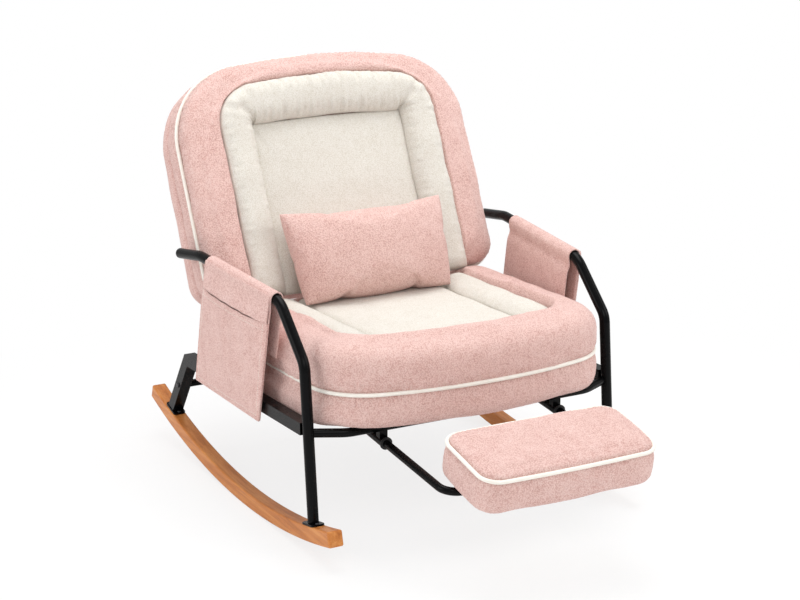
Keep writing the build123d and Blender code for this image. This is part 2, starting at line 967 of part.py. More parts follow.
with BuildPart() as hinge_arm:
    with BuildSketch(
        Plane(hinge_centre + Vector(arm_plate_x, 0, 0), x_dir=Vector(0, -1, 0), z_dir=(-1, 0, 0))
    ):
        with Locations(Rotation(0, 0, 90.0 - back_lean)):
            with Locations((hinge_arm_long / 2, 0)):
                SlotCenterToCenter(hinge_arm_long, hinge_arm_wide)
        Circle(pin_diameter / 2 + running, mode=Mode.SUBTRACT)
    extrude(amount=-hinge_arm_thick)
keep_pair(hinge_arm, "hinge_arm")

with BuildPart() as hinge_pin:
    pin_from = arm_plate_x - hinge_gap
    with BuildSketch(Plane(hinge_centre + Vector(pin_from, 0, 0), x_dir=(0, 1, 0), z_dir=(1, 0, 0))):
        Circle(pin_diameter / 2)
    extrude(amount=rail_inside - pin_from)
    with BuildSketch(Plane(hinge_centre + Vector(pin_from, 0, 0), x_dir=(0, 1, 0), z_dir=(1, 0, 0))):
        Circle(pin_head / 2)
    extrude(amount=-pin_head_thick)
    chamfer(hinge_pin.faces().sort_by(Axis.X)[0].edges(), length=0.8)
keep_pair(hinge_pin, "hinge_pin")

# Footrest guides hung under the front seat tube
guide_end = mid_tube_back - cross_tube / 2 - 0.3
guide_long = (guide_end + guide_front_ahead) / math.cos(fall)
guide_plane = Plane(slide_point(footrest_x, -guide_front_ahead), x_dir=(1, 0, 0), z_dir=slide_way)
with BuildPart() as footrest_guide:
    extrude(ring(guide_plane, guide_tube, tube_wall), amount=guide_long)
keep_pair(footrest_guide, "footrest_guide")

with BuildPart() as guide_bush:
    with BuildSketch(guide_plane):
        Circle(guide_tube / 2 - tube_wall - running)
    extrude(amount=bush_long)
    with BuildSketch(guide_plane):
        Circle(bush_flange / 2)
    extrude(amount=-bush_flange_thick)
    with BuildSketch(guide_plane.offset(-bush_flange_thick)):
        Circle(footrest_tube / 2 + running)
    extrude(amount=bush_long + bush_flange_thick, mode=Mode.SUBTRACT)
keep_both(guide_bush, "guide_bushes")

with BuildPart() as guide_hanger:
    mid = at(footrest_x, -front_tube_ahead, (front_tube_up - footrest_drop) / 2)
    with BuildSketch(Plane(mid, x_dir=(1, 0, 0), z_dir=(0, 1, 0))):
        Rectangle(guide_tube * 0.8, hanger_high)
    extrude(amount=seat_tube * 0.4, both=True)
    tube_axis = Plane(at(0, -front_tube_ahead, front_tube_up), x_dir=(0, 1, 0), z_dir=(1, 0, 0))
    with BuildSketch(tube_axis):
        Circle(seat_tube / 2 + 0.02)
    extrude(amount=2 * footrest_x, both=True, mode=Mode.SUBTRACT)
    with BuildSketch(guide_plane):
        Circle(guide_tube / 2 + 0.02)
    extrude(amount=guide_long, mode=Mode.SUBTRACT)
    with BuildSketch(Plane(at(footrest_x, 0, front_tube_up), x_dir=(1, 0, 0), z_dir=(0, 0, 1))):
        Rectangle(4 * guide_tube, 8 * seat_tube)
    extrude(amount=2 * hanger_high, mode=Mode.SUBTRACT)
    with BuildSketch(Plane(at(footrest_x, 0, -footrest_drop), x_dir=(1, 0, 0), z_dir=(0, 0, 1))):
        Rectangle(4 * guide_tube, 8 * seat_tube)
    extrude(amount=-2 * hanger_high, mode=Mode.SUBTRACT)
keep_both(guide_hanger, "guide_hangers")

# Footrest U tube, cut into two straight legs and the bent bar between them
bar_y = -footrest_bar_ahead
leg_stop = bar_y + footrest_bend
leg_start = -guide_front_ahead + footrest_engaged
leg_span = (leg_start - leg_stop) / math.cos(fall)
with BuildPart() as footrest_leg:
    leg_base = Plane(slide_point(footrest_x, leg_stop), x_dir=(1, 0, 0), z_dir=slide_way)
    extrude(ring(leg_base, footrest_tube, tube_wall), amount=leg_span)
keep_pair(footrest_leg, "footrest_leg")

with BuildPart() as footrest_plug:
    plug_base = Plane(slide_point(footrest_x, leg_start), x_dir=(1, 0, 0), z_dir=slide_way)
    with BuildSketch(plug_base):
        Circle(footrest_tube / 2)
    extrude(amount=2.0)
    with BuildSketch(plug_base):
        Circle(footrest_tube / 2 - tube_wall - running)
    extrude(amount=-plug_long)
keep_both(footrest_plug, "footrest_plugs")

with BuildPart() as footrest_bar:
    with BuildLine() as bar_path:
        bent(
            [
                slide_point(-footrest_x, leg_stop),
                slide_point(-footrest_x, bar_y),
                slide_point(footrest_x, bar_y),
                slide_point(footrest_x, leg_stop),
            ],
            [footrest_bend * 0.98, footrest_bend * 0.98],
        )
    sweep(ring(Plane(bar_path.line @ 0, z_dir=bar_path.line % 0), footrest_tube, tube_wall))
keep(footrest_bar, "footrest_bar")


# Footrest pad: crowned top, drawn-in sides, piped upper edge
def pad_outline(inset):
    bowed_outline(
        pad_half, pad_corner, pad_corner - pad_deep / 2, 4000.0, pad_deep / 2, pad_corner, inset, 1
    )


pad_mid = Plane(
    pad_plane.origin + pad_plane.y_dir * pad_shift, x_dir=pad_plane.x_dir, z_dir=pad_plane.z_dir
)
pad_top = pad_under + pad_thick
pad_stack = [
    (pad_under, 10.0),
    (pad_under + 4, 4.0),
    (pad_under + 11, 1.0),
    (pad_under + 23, 0.0),
    (pad_top - 24, 0.5),
    (pad_top - 13, 3.0),
    (pad_top - 6, seam_inset * 0.7),
    (pad_top, seam_inset),
    (pad_top + 5, seam_inset * 0.8),
    (pad_top + pad_crown * 0.7, 14.0),
    (pad_top + pad_crown * 0.9, 23.0),
    (pad_top + pad_crown, 36.0),
]
with BuildPart() as footrest_cushion:
    for high, inset in pad_stack:
        with BuildSketch(pad_mid.offset(high)):
            with BuildLine():
                pad_outline(inset)
            make_face()
    loft(ruled=True)
    with BuildSketch(pad_mid.offset(pad_under)):
        RectangleRounded(
            2 * (pad_half - board_edge + seat_fit), pad_deep - 2 * (board_edge - seat_fit), 15.0
        )
    extrude(amount=board_thick + soft_gap, mode=Mode.SUBTRACT)
keep(footrest_cushion, "footrest_cushion")

with BuildPart() as footrest_board:
    with BuildSketch(pad_mid.offset(pad_under)):
        RectangleRounded(2 * (pad_half - board_edge), pad_deep - 2 * board_edge, 14.6)
    extrude(amount=board_thick)
keep(footrest_board, "footrest_board")

with BuildPart() as footrest_piping:
    with BuildLine(pad_mid.offset(pad_top)) as pad_cord:
        pad_outline(cord_inset)
    with BuildSketch(Plane(pad_cord.line @ 0, z_dir=pad_cord.line % 0)):
        Circle(piping / 2)
    sweep()
keep(footrest_piping, "footrest_piping")

# Saddle clamps turn on the bar and carry the board
with BuildPart() as pad_clamp:
    side_plane = Plane(
        pad_plane.origin + Vector(clamp_x - clamp_wide / 2, 0, 0), x_dir=pad_plane.y_dir, z_dir=(1, 0, 0)
    )
    with BuildSketch(side_plane):
        Circle(clamp_ring / 2)
        with Locations((0, pad_under - 2.0)):
            Rectangle(clamp_ring + 26.0, 4.0)
        Circle(footrest_tube / 2 + running, mode=Mode.SUBTRACT)
        with Locations((0, pad_under + 20.0)):
            Rectangle(200.0, 40.0, mode=Mode.SUBTRACT)
    extrude(amount=clamp_wide)
keep_pair(pad_clamp, "pad_clamp")

with BuildPart() as clamp_screws:
    for side in (-1, 1):
        for along in (-1, 1):
            spot = pad_plane.origin + Vector(side * clamp_x, 0, 0)
            spot += pad_plane.y_dir * along * (clamp_ring / 2 + 6.5)
            spot += pad_plane.z_dir * (pad_under - 4.0)
            with BuildSketch(Plane(spot, x_dir=(1, 0, 0), z_dir=pad_plane.z_dir)):
                Circle(screw_head / 2)
            extrude(amount=-screw_head_high, taper=25)
keep(clamp_screws, "clamp_screws")

# Lumbar pillow: four pulled-in sides between pointed corners
pillow_mid_s = pillow_low + pillow_high / 2
pillow_out = back_pocket_floor + panel_crown + pillow_seat + pillow_thick / 2
pillow_side = ((0.5, 1.0), (0.47, 0.75), (0.39, 0.44), (0.28, 0.2), (0.15, 0.0625))
pillow_stack = [(-share, inset) for share, inset in pillow_side]
pillow_stack += [(0.0, 0.0)] + list(reversed(pillow_side))
with BuildPart() as lumbar_pillow:
    for share, drawn in pillow_stack:
        inset = pillow_round * drawn
        wide, high = pillow_half - inset, pillow_high / 2 - inset
        dip = pillow_waist * (1.06 - drawn)
        low, top = pillow_mid_s - high, pillow_mid_s + high
        foot = wide - pillow_taper
        waist = (wide + foot) / 2 - dip
        with BuildSketch(back_plane.offset(pillow_out + share * pillow_thick)):
            with BuildLine():
                ThreePointArc((-foot, low), (0, low + dip), (foot, low))
                ThreePointArc((foot, low), (waist, pillow_mid_s), (wide, top))
                ThreePointArc((wide, top), (0, top - dip), (-wide, top))
                ThreePointArc((-wide, top), (-waist, pillow_mid_s), (-foot, low))
            make_face()
    loft(ruled=True)
keep(lumbar_pillow, "lumbar_pillow")

# Arm sleeve: cloth laid over the arm like a saddle, long outside and short inside
shoulder = arm_points[2]
arm_way = (arm_points[3] - shoulder).normalized()
out_way = Vector(arm_way.Y, -arm_way.X, 0).normalized()
up_way = out_way.cross(arm_way)
sleeve_in = leg_tube / 2 + soft_gap
sleeve_out = sleeve_in + cloth
end_plane = Plane(shoulder + arm_way * sleeve_start, x_dir=out_way, z_dir=-arm_way)
sleeve_long = sleeve_end - sleeve_start


def hang_plane(out):
    # A plane beside the arm: first axis along the arm, second axis up.
    return Plane(shoulder + out_way * out, x_dir=arm_way, z_dir=out_way)


def skewed(top, bottom, gap):
    # A hanging panel's outline, leaning rearwards as it falls.
    slant = pocket_skew / outer_flap
    front, rear = sleeve_start + gap, sleeve_end - gap
    return [
        (front - top * slant, top),
        (rear - top * slant, top),
        (rear - bottom * slant, bottom),
        (front - bottom * slant, bottom),
    ]


with BuildPart() as arm_sleeve:
    with BuildSketch(end_plane):
        Circle(sleeve_out)
        Circle(sleeve_in, mode=Mode.SUBTRACT)
        with Locations((0, -50.0)):
            Rectangle(100.0, 100.0, mode=Mode.SUBTRACT)
    extrude(amount=-sleeve_long)
    with BuildSketch(hang_plane(sleeve_in)):
        with BuildLine():
            Polyline(*skewed(0, -outer_flap, 0), close=True)
        make_face()
    extrude(amount=cloth)
    with BuildSketch(hang_plane(-sleeve_in)):
        with BuildLine():
            Polyline(*skewed(0, -inner_flap, 0), close=True)
        make_face()
    extrude(amount=-cloth)
keep_pair(arm_sleeve, "arm_sleeve")

# Side pocket: a pouch open at the top, sewn to the outer panel
with BuildPart() as side_pocket:
    with BuildSketch(hang_plane(sleeve_out)):
        with BuildLine():
            Polyline(*skewed(-pocket_mouth, -outer_flap, 0), close=True)
        make_face()
    extrude(amount=pocket_gap + cloth)
    with BuildSketch(hang_plane(sleeve_out)):
        with BuildLine():
            Polyline(*skewed(-pocket_mouth + 20.0, -outer_flap + pocket_edge, pocket_edge), close=True)
        make_face()
    extrude(amount=pocket_gap, mode=Mode.SUBTRACT)
keep_pair(side_pocket, "side_pocket")

# Bolts through the rear legs into the cross brace, and through the hinge rails
with BuildPart() as frame_bolts:
    for side in (-1, 1):
        for back, up in ((brace_back, -brace_drop), (hinge_back, hinge_up)):
            face = Plane(
                at(side * (arm_front_x + square / 2), back, up), x_dir=(0, 1, 0), z_dir=(side, 0, 0)
            )
            with BuildSketch(face):
                Circle(screw_head * 0.75)
            extrude(amount=3.0, taper=20)
keep(frame_bolts, "frame_bolts")

low = [round(min(getattr(c, axis) for c in low_corners), 3) for axis in "XYZ"]
high = [round(max(getattr(c, axis) for c in high_corners), 3) for axis in "XYZ"]
print("pieces", len(finished), "box", low, high)
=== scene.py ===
import json
import math

import bmesh
import bpy
import numpy as np
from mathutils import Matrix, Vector
from mathutils.kdtree import KDTree


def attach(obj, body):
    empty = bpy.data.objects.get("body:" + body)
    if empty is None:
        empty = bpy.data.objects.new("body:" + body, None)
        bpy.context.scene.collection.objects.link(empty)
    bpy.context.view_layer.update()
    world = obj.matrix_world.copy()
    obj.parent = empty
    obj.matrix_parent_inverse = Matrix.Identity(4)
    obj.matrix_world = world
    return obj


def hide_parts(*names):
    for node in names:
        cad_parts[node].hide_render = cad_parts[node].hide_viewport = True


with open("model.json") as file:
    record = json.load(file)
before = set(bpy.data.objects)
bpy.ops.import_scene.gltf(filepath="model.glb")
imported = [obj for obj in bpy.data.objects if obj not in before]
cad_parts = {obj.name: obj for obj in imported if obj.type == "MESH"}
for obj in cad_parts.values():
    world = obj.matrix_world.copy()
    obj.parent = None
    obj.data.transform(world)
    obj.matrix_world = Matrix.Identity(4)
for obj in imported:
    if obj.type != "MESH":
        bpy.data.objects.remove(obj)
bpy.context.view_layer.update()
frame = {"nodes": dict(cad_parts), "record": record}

# Rocking armchair: plush cushions, piping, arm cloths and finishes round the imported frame.
# Metres, +Z up, the chair faces -Y.

MM = 0.001
TURN = 2 * math.pi
scene = bpy.context.scene


# Places on the chair that the soft pieces are shaped in
class Place:
    """A flat frame with an origin and three axes, for shaping a piece where it lies."""

    def __init__(self, origin, across, up):
        self.origin = np.array(origin, float)
        across, up = Vector(across).normalized(), Vector(up).normalized()
        self.axes = np.array([across, up.cross(across), up], float)

    def local(self, points):
        return (np.asarray(points, float) - self.origin) @ self.axes.T

    def world(self, points):
        return np.asarray(points, float) @ self.axes + self.origin


ACROSS = (1, 0, 0)
KNEE = np.array([0.0, -0.17265, 0.379])
SEAT_TILT = math.atan(0.0397)
BACK_LEAN = math.radians(26.0)
BACK_FOOT = KNEE + (0, 0.455, 0)
PAD_TILT = math.radians(11.8)
PAD_BAR = KNEE + (0.0, -0.300, -0.18785)
PAD_SHIFT = -0.022 * np.array([0, math.cos(PAD_TILT), math.sin(PAD_TILT)])

seat_place = Place(KNEE, ACROSS, (0, math.sin(SEAT_TILT), math.cos(SEAT_TILT)))
back_place = Place(BACK_FOOT, ACROSS, (0, -math.cos(BACK_LEAN), math.sin(BACK_LEAN)))
pad_place = Place(PAD_BAR + PAD_SHIFT, ACROSS, (0, -math.sin(PAD_TILT), math.cos(PAD_TILT)))

# Heights in those places
SEAT_SEAM = -0.057
SEAT_FLOOR = -0.127
BACK_SEAM = 0.0
PAD_UNDER = 0.013
PAD_SEAM = 0.083

# Outlines of the cushions and of the hollow in the seat, as the frame has them
OUTLINES = {
    "seat": dict(half=0.321, corner=0.130, corner_at=0.034, bow=0.858, end_at=0.445, end_corner=0.045),
    "back": dict(half=0.350, corner=0.175, corner_at=-0.340, bow=1.500, end_at=0.0, end_corner=0.060, way=-1),
    "footrest": dict(half=0.194, corner=0.042, corner_at=-0.051, bow=4.0, end_at=0.093, end_corner=0.042),
    "recess": dict(half=0.237, corner=0.076, corner_at=0.064, bow=0.858, end_at=0.429, end_corner=0.030),
}
OUTLINE_STEP = 0.004


def outline(piece, inset=0.0):
    """Points of a piece's closed outline with its one bowed end, drawn in by the inset."""
    return bowed_ring(inset, **OUTLINES[piece])


def bowed_ring(inset, half, corner, corner_at, bow, end_at, end_corner, way=1):
    lean = math.asin((half - corner) / (bow - corner))
    bow_at = corner_at + (bow - corner) * math.cos(lean)
    big, small, large = corner - inset, end_corner - inset, bow - inset
    points = []

    def arc(cx, cy, radius, start, stop):
        count = max(3, int(abs(stop - start) * radius / OUTLINE_STEP))
        for turn in np.linspace(start, stop, count, endpoint=False):
            points.append((cx + radius * math.sin(turn), cy - radius * math.cos(turn)))

    def run(a, b):
        count = max(2, int(math.dist(a, b) / OUTLINE_STEP))
        for share in np.linspace(0, 1, count, endpoint=False):
            points.append(np.array(a) + (np.array(b) - a) * share)

    side, low = half - inset, end_at - end_corner
    arc(0, bow_at, large, -lean, lean)
    arc(half - corner, corner_at, big, lean, math.pi / 2)
    run((side, corner_at), (side, low))
    arc(half - end_corner, low, small, math.pi / 2, math.pi)
    run((half - end_corner, low + small), (end_corner - half, low + small))
    arc(end_corner - half, low, small, math.pi, 1.5 * math.pi)
    run((-side, low), (-side, corner_at))
    arc(corner - half, corner_at, big, 1.5 * math.pi, TURN - lean)
    return np.array(points, float) * (1, way)


# Shader maths
class Wire:
    """A shader socket that takes part in Python expressions."""

    def __init__(self, tree, socket):
        self.tree, self.socket = tree, socket

    def _math(self, operation, a, b):
        return self.tree.node("ShaderNodeMath", {"operation": operation}, a, b)

    def __add__(self, other):
        return self._math("ADD", self, other)

    def __radd__(self, other):
        return self._math("ADD", other, self)

    def __sub__(self, other):
        return self._math("SUBTRACT", self, other)

    def __rsub__(self, other):
        return self._math("SUBTRACT", other, self)

    def __mul__(self, other):
        return self._math("MULTIPLY", self, other)

    def __rmul__(self, other):
        return self._math("MULTIPLY", other, self)


class Finish:
    """One material: a Principled shader and the nodes that feed it."""

    def __init__(self, name, **fixed):
        self.material = bpy.data.materials.new(name)
        self.material.use_nodes = True
        self.nodes = self.material.node_tree.nodes
        self.links = self.material.node_tree.links
        self.shader = self.nodes["Principled BSDF"]
        for socket, value in fixed.items():
            self.shader.inputs[socket.replace("_", " ")].default_value = value
        self.place = Wire(self, self.nodes.new("ShaderNodeTexCoord").outputs["Object"])

    def join(self, value, socket):
        """Links a wire to a socket, or sets a plain value on it."""
        if isinstance(value, Wire):
            self.links.new(value.socket, socket)
        else:
            socket.default_value = value

    def node(self, kind, settings, *values, out=0, **named):
        made = self.nodes.new(kind)
        stops = settings.pop("stops", None)
        for key, value in settings.items():
            setattr(made, key, value)
        if stops:
            ramp = made.color_ramp
            while len(ramp.elements) < len(stops):
                ramp.elements.new(0.5)
            for element, (at, colour) in zip(ramp.elements, stops):
                element.position, element.color = at, colour
        pairs = list(enumerate(values)) + [(k.replace("_", " "), v) for k, v in named.items()]
        for key, value in pairs:
            self.join(value, made.inputs[key])
        return Wire(self, made.outputs[out])

    def noise(self, scale, detail, rough, place=None):
        return self.node(
            "ShaderNodeTexNoise", {}, Vector=place or self.place, Scale=scale, Detail=detail, Roughness=rough
        )

    def cells(self, scale):
        return self.node("ShaderNodeTexVoronoi", {"feature": "F1"}, Vector=self.place, Scale=scale)

    def stretch(self, scale):
        return self.node("ShaderNodeMapping", {}, Vector=self.place, Scale=scale)

    def span(self, value, low, high, to_low=0.0, to_high=1.0):
        return self.node("ShaderNodeMapRange", {}, value, low, high, to_low, to_high)

    def ramp(self, value, *stops):
        return self.node("ShaderNodeValToRGB", {"stops": stops}, value)

    def blend(self, share, a, b):
        made = self.nodes.new("ShaderNodeMix")
        made.data_type, made.blend_type = "RGBA", "MIX"
        factor, first, second = (made.inputs[k] for k in (0, 6, 7))
        for value, socket in ((share, factor), (a, first), (b, second)):
            self.join(value, socket)
        return Wire(self, made.outputs[2])

    def feed(self, socket, wire):
        self.links.new(wire.socket, self.shader.inputs[socket])

    def bump(self, height, distance, strength):
        """Feeds the shader's normal with a relief of the given depth."""
        self.feed("Normal", self.node("ShaderNodeBump", {}, strength, distance, Height=height))


def rgb(red, green, blue):
    """A colour written as on a screen, turned into the linear values the shaders take."""
    levels = [v / 255 for v in (red, green, blue)]
    return tuple([v / 12.92 if v < 0.04045 else ((v + 0.055) / 1.055) ** 2.4 for v in levels] + [1.0])


# Finishes
def plush(name, deep, mid, pale, loop, height, mottle):
    """Short curled pile: small loops whose roots are darkened with painted shade, combed patches and a soft
    sheen.
    """
    made = Finish(name, Roughness=0.95, Sheen_Weight=0.2, Sheen_Roughness=0.5, Specular_IOR_Level=0.12)
    curls = made.cells(loop)
    fuzz = made.noise(loop * 1.7, detail=4.0, rough=0.7)
    patches = made.noise(30.0, detail=4.0, rough=0.62)
    nap = made.noise(105.0, detail=4.0, rough=0.68, place=made.stretch((1.0, 1.0, 0.5)))
    # Painted shade: the loops' tops are painted lighter and the roots between them darker, and the same
    # pattern also drives the bump.
    curl_tops_and_root_shade = made.span(curls, 0.0, 0.7, 1.0, 0.0)
    pile = curl_tops_and_root_shade * 0.5 + fuzz * 0.5 + nap * 0.2
    tone = made.span(pile * 0.8 + patches * mottle, 0.30, 0.84)
    made.feed("Base Color", made.ramp(tone, (0.0, deep), (0.42, mid), (1.0, pale)))
    made.feed("Roughness", made.span(fuzz, 0.3, 0.7, 0.86, 0.98))
    made.bump(pile, height, 0.9)
    return made.material


def pink_plush():
    deep, mid, pale = rgb(194, 146, 137), rgb(227, 191, 183), rgb(242, 217, 210)
    return plush("pink_plush", deep, mid, pale, loop=400.0, height=2.0 * MM, mottle=0.22)


def cream_plush():
    deep, mid, pale = rgb(204, 197, 184), rgb(223, 219, 211), rgb(233, 231, 226)
    return plush("cream_plush", deep, mid, pale, loop=560.0, height=0.7 * MM, mottle=0.14)


def ivory_cord():
    """Ivory piping: a smooth, finely woven cover over a cord."""
    made = Finish("ivory_cord", Roughness=0.85, Sheen_Weight=0.15, Specular_IOR_Level=0.2)
    weave = made.noise(900.0, detail=2.0, rough=0.5)
    shade = made.noise(60.0, detail=2.0, rough=0.5)
    tone = weave * 0.6 + shade * 0.4
    made.feed("Base Color", made.ramp(tone, (0.25, rgb(232, 226, 214)), (0.75, rgb(250, 247, 240))))
    made.bump(weave, 0.4 * MM, 0.6)
    return made.material


def lacquered_wood():
    """Bent wood under satin lacquer: long grain along the runner, with fine lines and pores."""
    made = Finish("lacquered_wood", Specular_IOR_Level=0.25, Coat_Roughness=0.25)
    grain = made.noise(3.2, detail=5.0, rough=0.62, place=made.stretch((26.0, 1.6, 22.0)))
    fine = made.noise(16.0, detail=4.0, rough=0.7, place=made.stretch((38.0, 1.2, 34.0)))
    dots = made.noise(30.0, detail=2.0, rough=0.5, place=made.stretch((40.0, 2.4, 40.0)))
    pores = made.span(dots, 0.62, 0.72)
    tone = made.span(grain * 0.65 + fine * 0.35, 0.3, 0.7)
    dark, warm = (0.0, rgb(152, 84, 36)), (0.45, rgb(197, 121, 58))
    light, pale = (0.75, rgb(213, 142, 76)), (1.0, rgb(226, 162, 98))
    wood = made.ramp(tone, dark, warm, light, pale)
    made.feed("Base Color", made.blend(pores * 0.45, wood, rgb(112, 60, 28)))
    made.feed("Roughness", made.span(fine, 0.3, 0.7, 0.34, 0.5))
    made.feed("Coat Weight", made.span(grain, 0.3, 0.7, 0.10, 0.22))
    made.bump(fine - pores, 0.25 * MM, 0.35)
    return made.material


def powder_coat():
    """Black satin powder coat: fine orange peel and slightly rubbed patches."""
    made = Finish("black_powder_coat", Specular_IOR_Level=0.10)
    peel = made.noise(700.0, detail=2.0, rough=0.5)
    rub = made.noise(14.0, detail=3.0, rough=0.6)
    made.feed("Base Color", made.ramp(rub, (0.3, rgb(4, 4, 5)), (0.75, rgb(9, 9, 10))))
    made.feed("Roughness", made.span(rub + peel * 0.3, 0.4, 0.95, 0.20, 0.32))
    made.bump(peel, 0.12 * MM, 0.4)
    return made.material


def zinc_plate():
    """Dark brushed zinc on the bolts and screws."""
    made = Finish("zinc_plate", Metallic=1.0)
    brushed = made.noise(160.0, detail=3.0, rough=0.6, place=made.stretch((1.0, 6.0, 1.0)))
    made.feed("Base Color", made.ramp(brushed, (0.3, rgb(46, 46, 48)), (0.7, rgb(76, 76, 79))))
    made.feed("Roughness", made.span(brushed, 0.3, 0.7, 0.28, 0.5))
    made.bump(brushed, 0.05 * MM, 0.3)
    return made.material


def moulded_plastic():
    """Black moulded plastic with a fine grain."""
    made = Finish("black_plastic", Specular_IOR_Level=0.4)
    grain = made.noise(1100.0, detail=2.0, rough=0.5)
    made.feed("Base Color", made.ramp(grain, (0.3, rgb(22, 22, 23)), (0.7, rgb(33, 33, 34))))
    made.feed("Roughness", made.span(grain, 0.3, 0.7, 0.5, 0.68))
    made.bump(grain, 0.1 * MM, 0.4)
    return made.material


def elastic_webbing():
    """Ribbed black webbing of the straps."""
    made = Finish("elastic_webbing", Roughness=0.9, Sheen_Weight=0.1)
    ribs = made.node(
        "ShaderNodeTexWave", {"bands_direction": "X"}, Vector=made.place, Scale=90.0, Distortion=0.6
    )
    picks = made.noise(700.0, detail=2.0, rough=0.5)
    tone = ribs * 0.5 + picks * 0.5
    made.feed("Base Color", made.ramp(tone, (0.2, rgb(28, 28, 29)), (0.8, rgb(62, 61, 60))))
    made.bump(tone, 0.5 * MM, 0.7)
    return made.material


def raw_plywood():
    """Plain plywood of the board under the footrest cushion."""
    made = Finish("raw_plywood", Specular_IOR_Level=0.3)
    grain = made.noise(3.0, detail=5.0, rough=0.6, place=made.stretch((2.0, 30.0, 30.0)))
    made.feed("Base Color", made.ramp(grain, (0.25, rgb(172, 132, 86)), (0.75, rgb(216, 182, 134))))
    made.feed("Roughness", made.span(grain, 0.3, 0.7, 0.6, 0.8))
    made.bump(grain, 0.2 * MM, 0.3)
    return made.material


FINISHES = {
    "pink_fabric": pink_plush(),
    "cream_fabric": cream_plush(),
    "ivory_piping": ivory_cord(),
    "rocker_wood": lacquered_wood(),
    "black_steel": powder_coat(),
    "zinc_steel": zinc_plate(),
    "black_plastic": moulded_plastic(),
    "webbing": elastic_webbing(),
    "plywood": raw_plywood(),
}
slot_of = {s["node"]: s["material_slot"] for s in frame["record"]["subparts"]}
for name, node in frame["nodes"].items():
    node.data.materials.clear()
    node.data.materials.append(FINISHES[slot_of[name]])


# Mesh helpers
SMOOTHED = ("SUBSURF", {"levels": 1, "render_levels": 1})
RELAX_IN = 0.5
RELAX_OUT = -0.53
PILE_ROUGH = 0.15 * MM


def vertex_field(mesh, field):
    flat = np.zeros(len(mesh.vertices) * 3, np.float64)
    mesh.vertices.foreach_get(field, flat)
    return flat.reshape(-1, 3)


def coords(mesh):
    return vertex_field(mesh, "co")


def normals(mesh):
    return vertex_field(mesh, "normal")


def set_coords(mesh, points):
    mesh.vertices.foreach_set("co", np.asarray(points, np.float32).ravel())
    mesh.update()


def edges(mesh):
    flat = np.zeros(len(mesh.edges) * 2, np.int64)
    mesh.edges.foreach_get("vertices", flat)
    return flat.reshape(-1, 2)


def mesh_of(name, points, faces, links=()):
    mesh = bpy.data.meshes.new(name)
    mesh.from_pydata(list(map(tuple, points)), list(links), faces)
    return mesh


def weld(mesh, gap, turn_out=False):
    """Joins points that lie together, and turns every face outwards if asked."""
    work = bmesh.new()
    work.from_mesh(mesh)
    bmesh.ops.remove_doubles(work, verts=work.verts, dist=gap)
    if turn_out:
        bmesh.ops.recalc_face_normals(work, faces=work.faces)
    work.to_mesh(mesh)
    work.free()
    return mesh


def outward(mesh):
    return weld(mesh, 1e-6, turn_out=True)


def node_copy(node):
    """A welded copy of a frame node's mesh."""
    return weld(frame["nodes"][node].data.copy(), 1e-5)


def quads(rows, columns, wrap=False):
    """Faces of a grid of points, closed round its columns if asked."""
    last = columns if wrap else columns - 1
    faces = []
    for r in range(rows - 1):
        for c in range(last):
            d = (c + 1) % columns
            faces.append((r * columns + c, r * columns + d, (r + 1) * columns + d, (r + 1) * columns + c))
    return faces


def skin(name, place, rows):
    """A closed mesh through rows of points: each row is a loop, and the end rows are capped."""
    columns = len(rows[0])
    points = np.concatenate(rows)
    last = len(points) - 1
    faces = quads(len(rows), columns, wrap=True)
    faces.append(tuple(range(columns)))
    faces.append(tuple(range(last, last - columns, -1)))
    return outward(mesh_of(name, place.world(points), faces))


def length_along(line):
    """The length run so far at each point of a line."""
    return np.concatenate([[0], np.cumsum(np.linalg.norm(np.diff(line, axis=0), axis=1))])


def spaced(line, count, endpoint=True):
    """Points spread evenly along a flat line, and the length run to each."""
    run = length_along(line)
    spots = np.linspace(0, run[-1], count, endpoint=endpoint)
    return np.column_stack([np.interp(spots, run, line[:, k]) for k in (0, 1)]), spots


def smooth_step(value, low, high):
    share = np.clip((value - low) / (high - low), 0.0, 1.0)
    return share * share * (3 - 2 * share)


def relax(points, pairs, rounds):
    """Evens out a mesh, pushing back each time what averaging shrinks."""
    count = np.bincount(pairs.ravel(), minlength=len(points))[:, None].clip(1)
    for pull in (RELAX_IN, RELAX_OUT) * rounds:
        total = np.zeros_like(points)
        np.add.at(total, pairs[:, 0], points[pairs[:, 1]])
        np.add.at(total, pairs[:, 1], points[pairs[:, 0]])
        points = points + pull * (total / count - points)
    return points


def rippled(mesh, seed, wavelength, height, count=7):
    """A mesh's points moved in and out by smooth uneven waves, as in a hand-filled cushion."""
    points, draw = coords(mesh), np.random.default_rng(seed)
    total = np.zeros(len(points))
    for _ in range(count):
        way = draw.normal(size=3)
        way /= np.linalg.norm(way)
        size = wavelength * draw.uniform(0.7, 1.5)
        total += np.sin(points @ way * (TURN / size) + draw.uniform(0, 6.283))
    return points + normals(mesh) * (total * height / math.sqrt(count))[:, None]


def new_piece(name, mesh, slot, body):
    obj = bpy.data.objects.new(name, mesh)
    scene.collection.objects.link(obj)
    mesh.materials.clear()
    mesh.materials.append(FINISHES[slot])
    mesh.polygons.foreach_set("use_smooth", [True] * len(mesh.polygons))
    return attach(obj, body)


def soft_piece(name, mesh, points, slot, body, seed, node):
    """Finishes a stuffed piece: a slightly rough pile, then its slot and body, and hides the frame node it
    stands for.
    """
    set_coords(mesh, points)
    pile = np.random.default_rng(seed).normal(0, PILE_ROUGH, (len(points), 1))
    set_coords(mesh, points + normals(mesh) * pile)
    made = new_piece(name, mesh, slot, body)
    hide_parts(node)
    return made


def plain_mesh(obj):
    """The evaluated object as a mesh with no modifiers."""
    shown = obj.evaluated_get(bpy.context.evaluated_depsgraph_get())
    return bpy.data.meshes.new_from_object(shown)


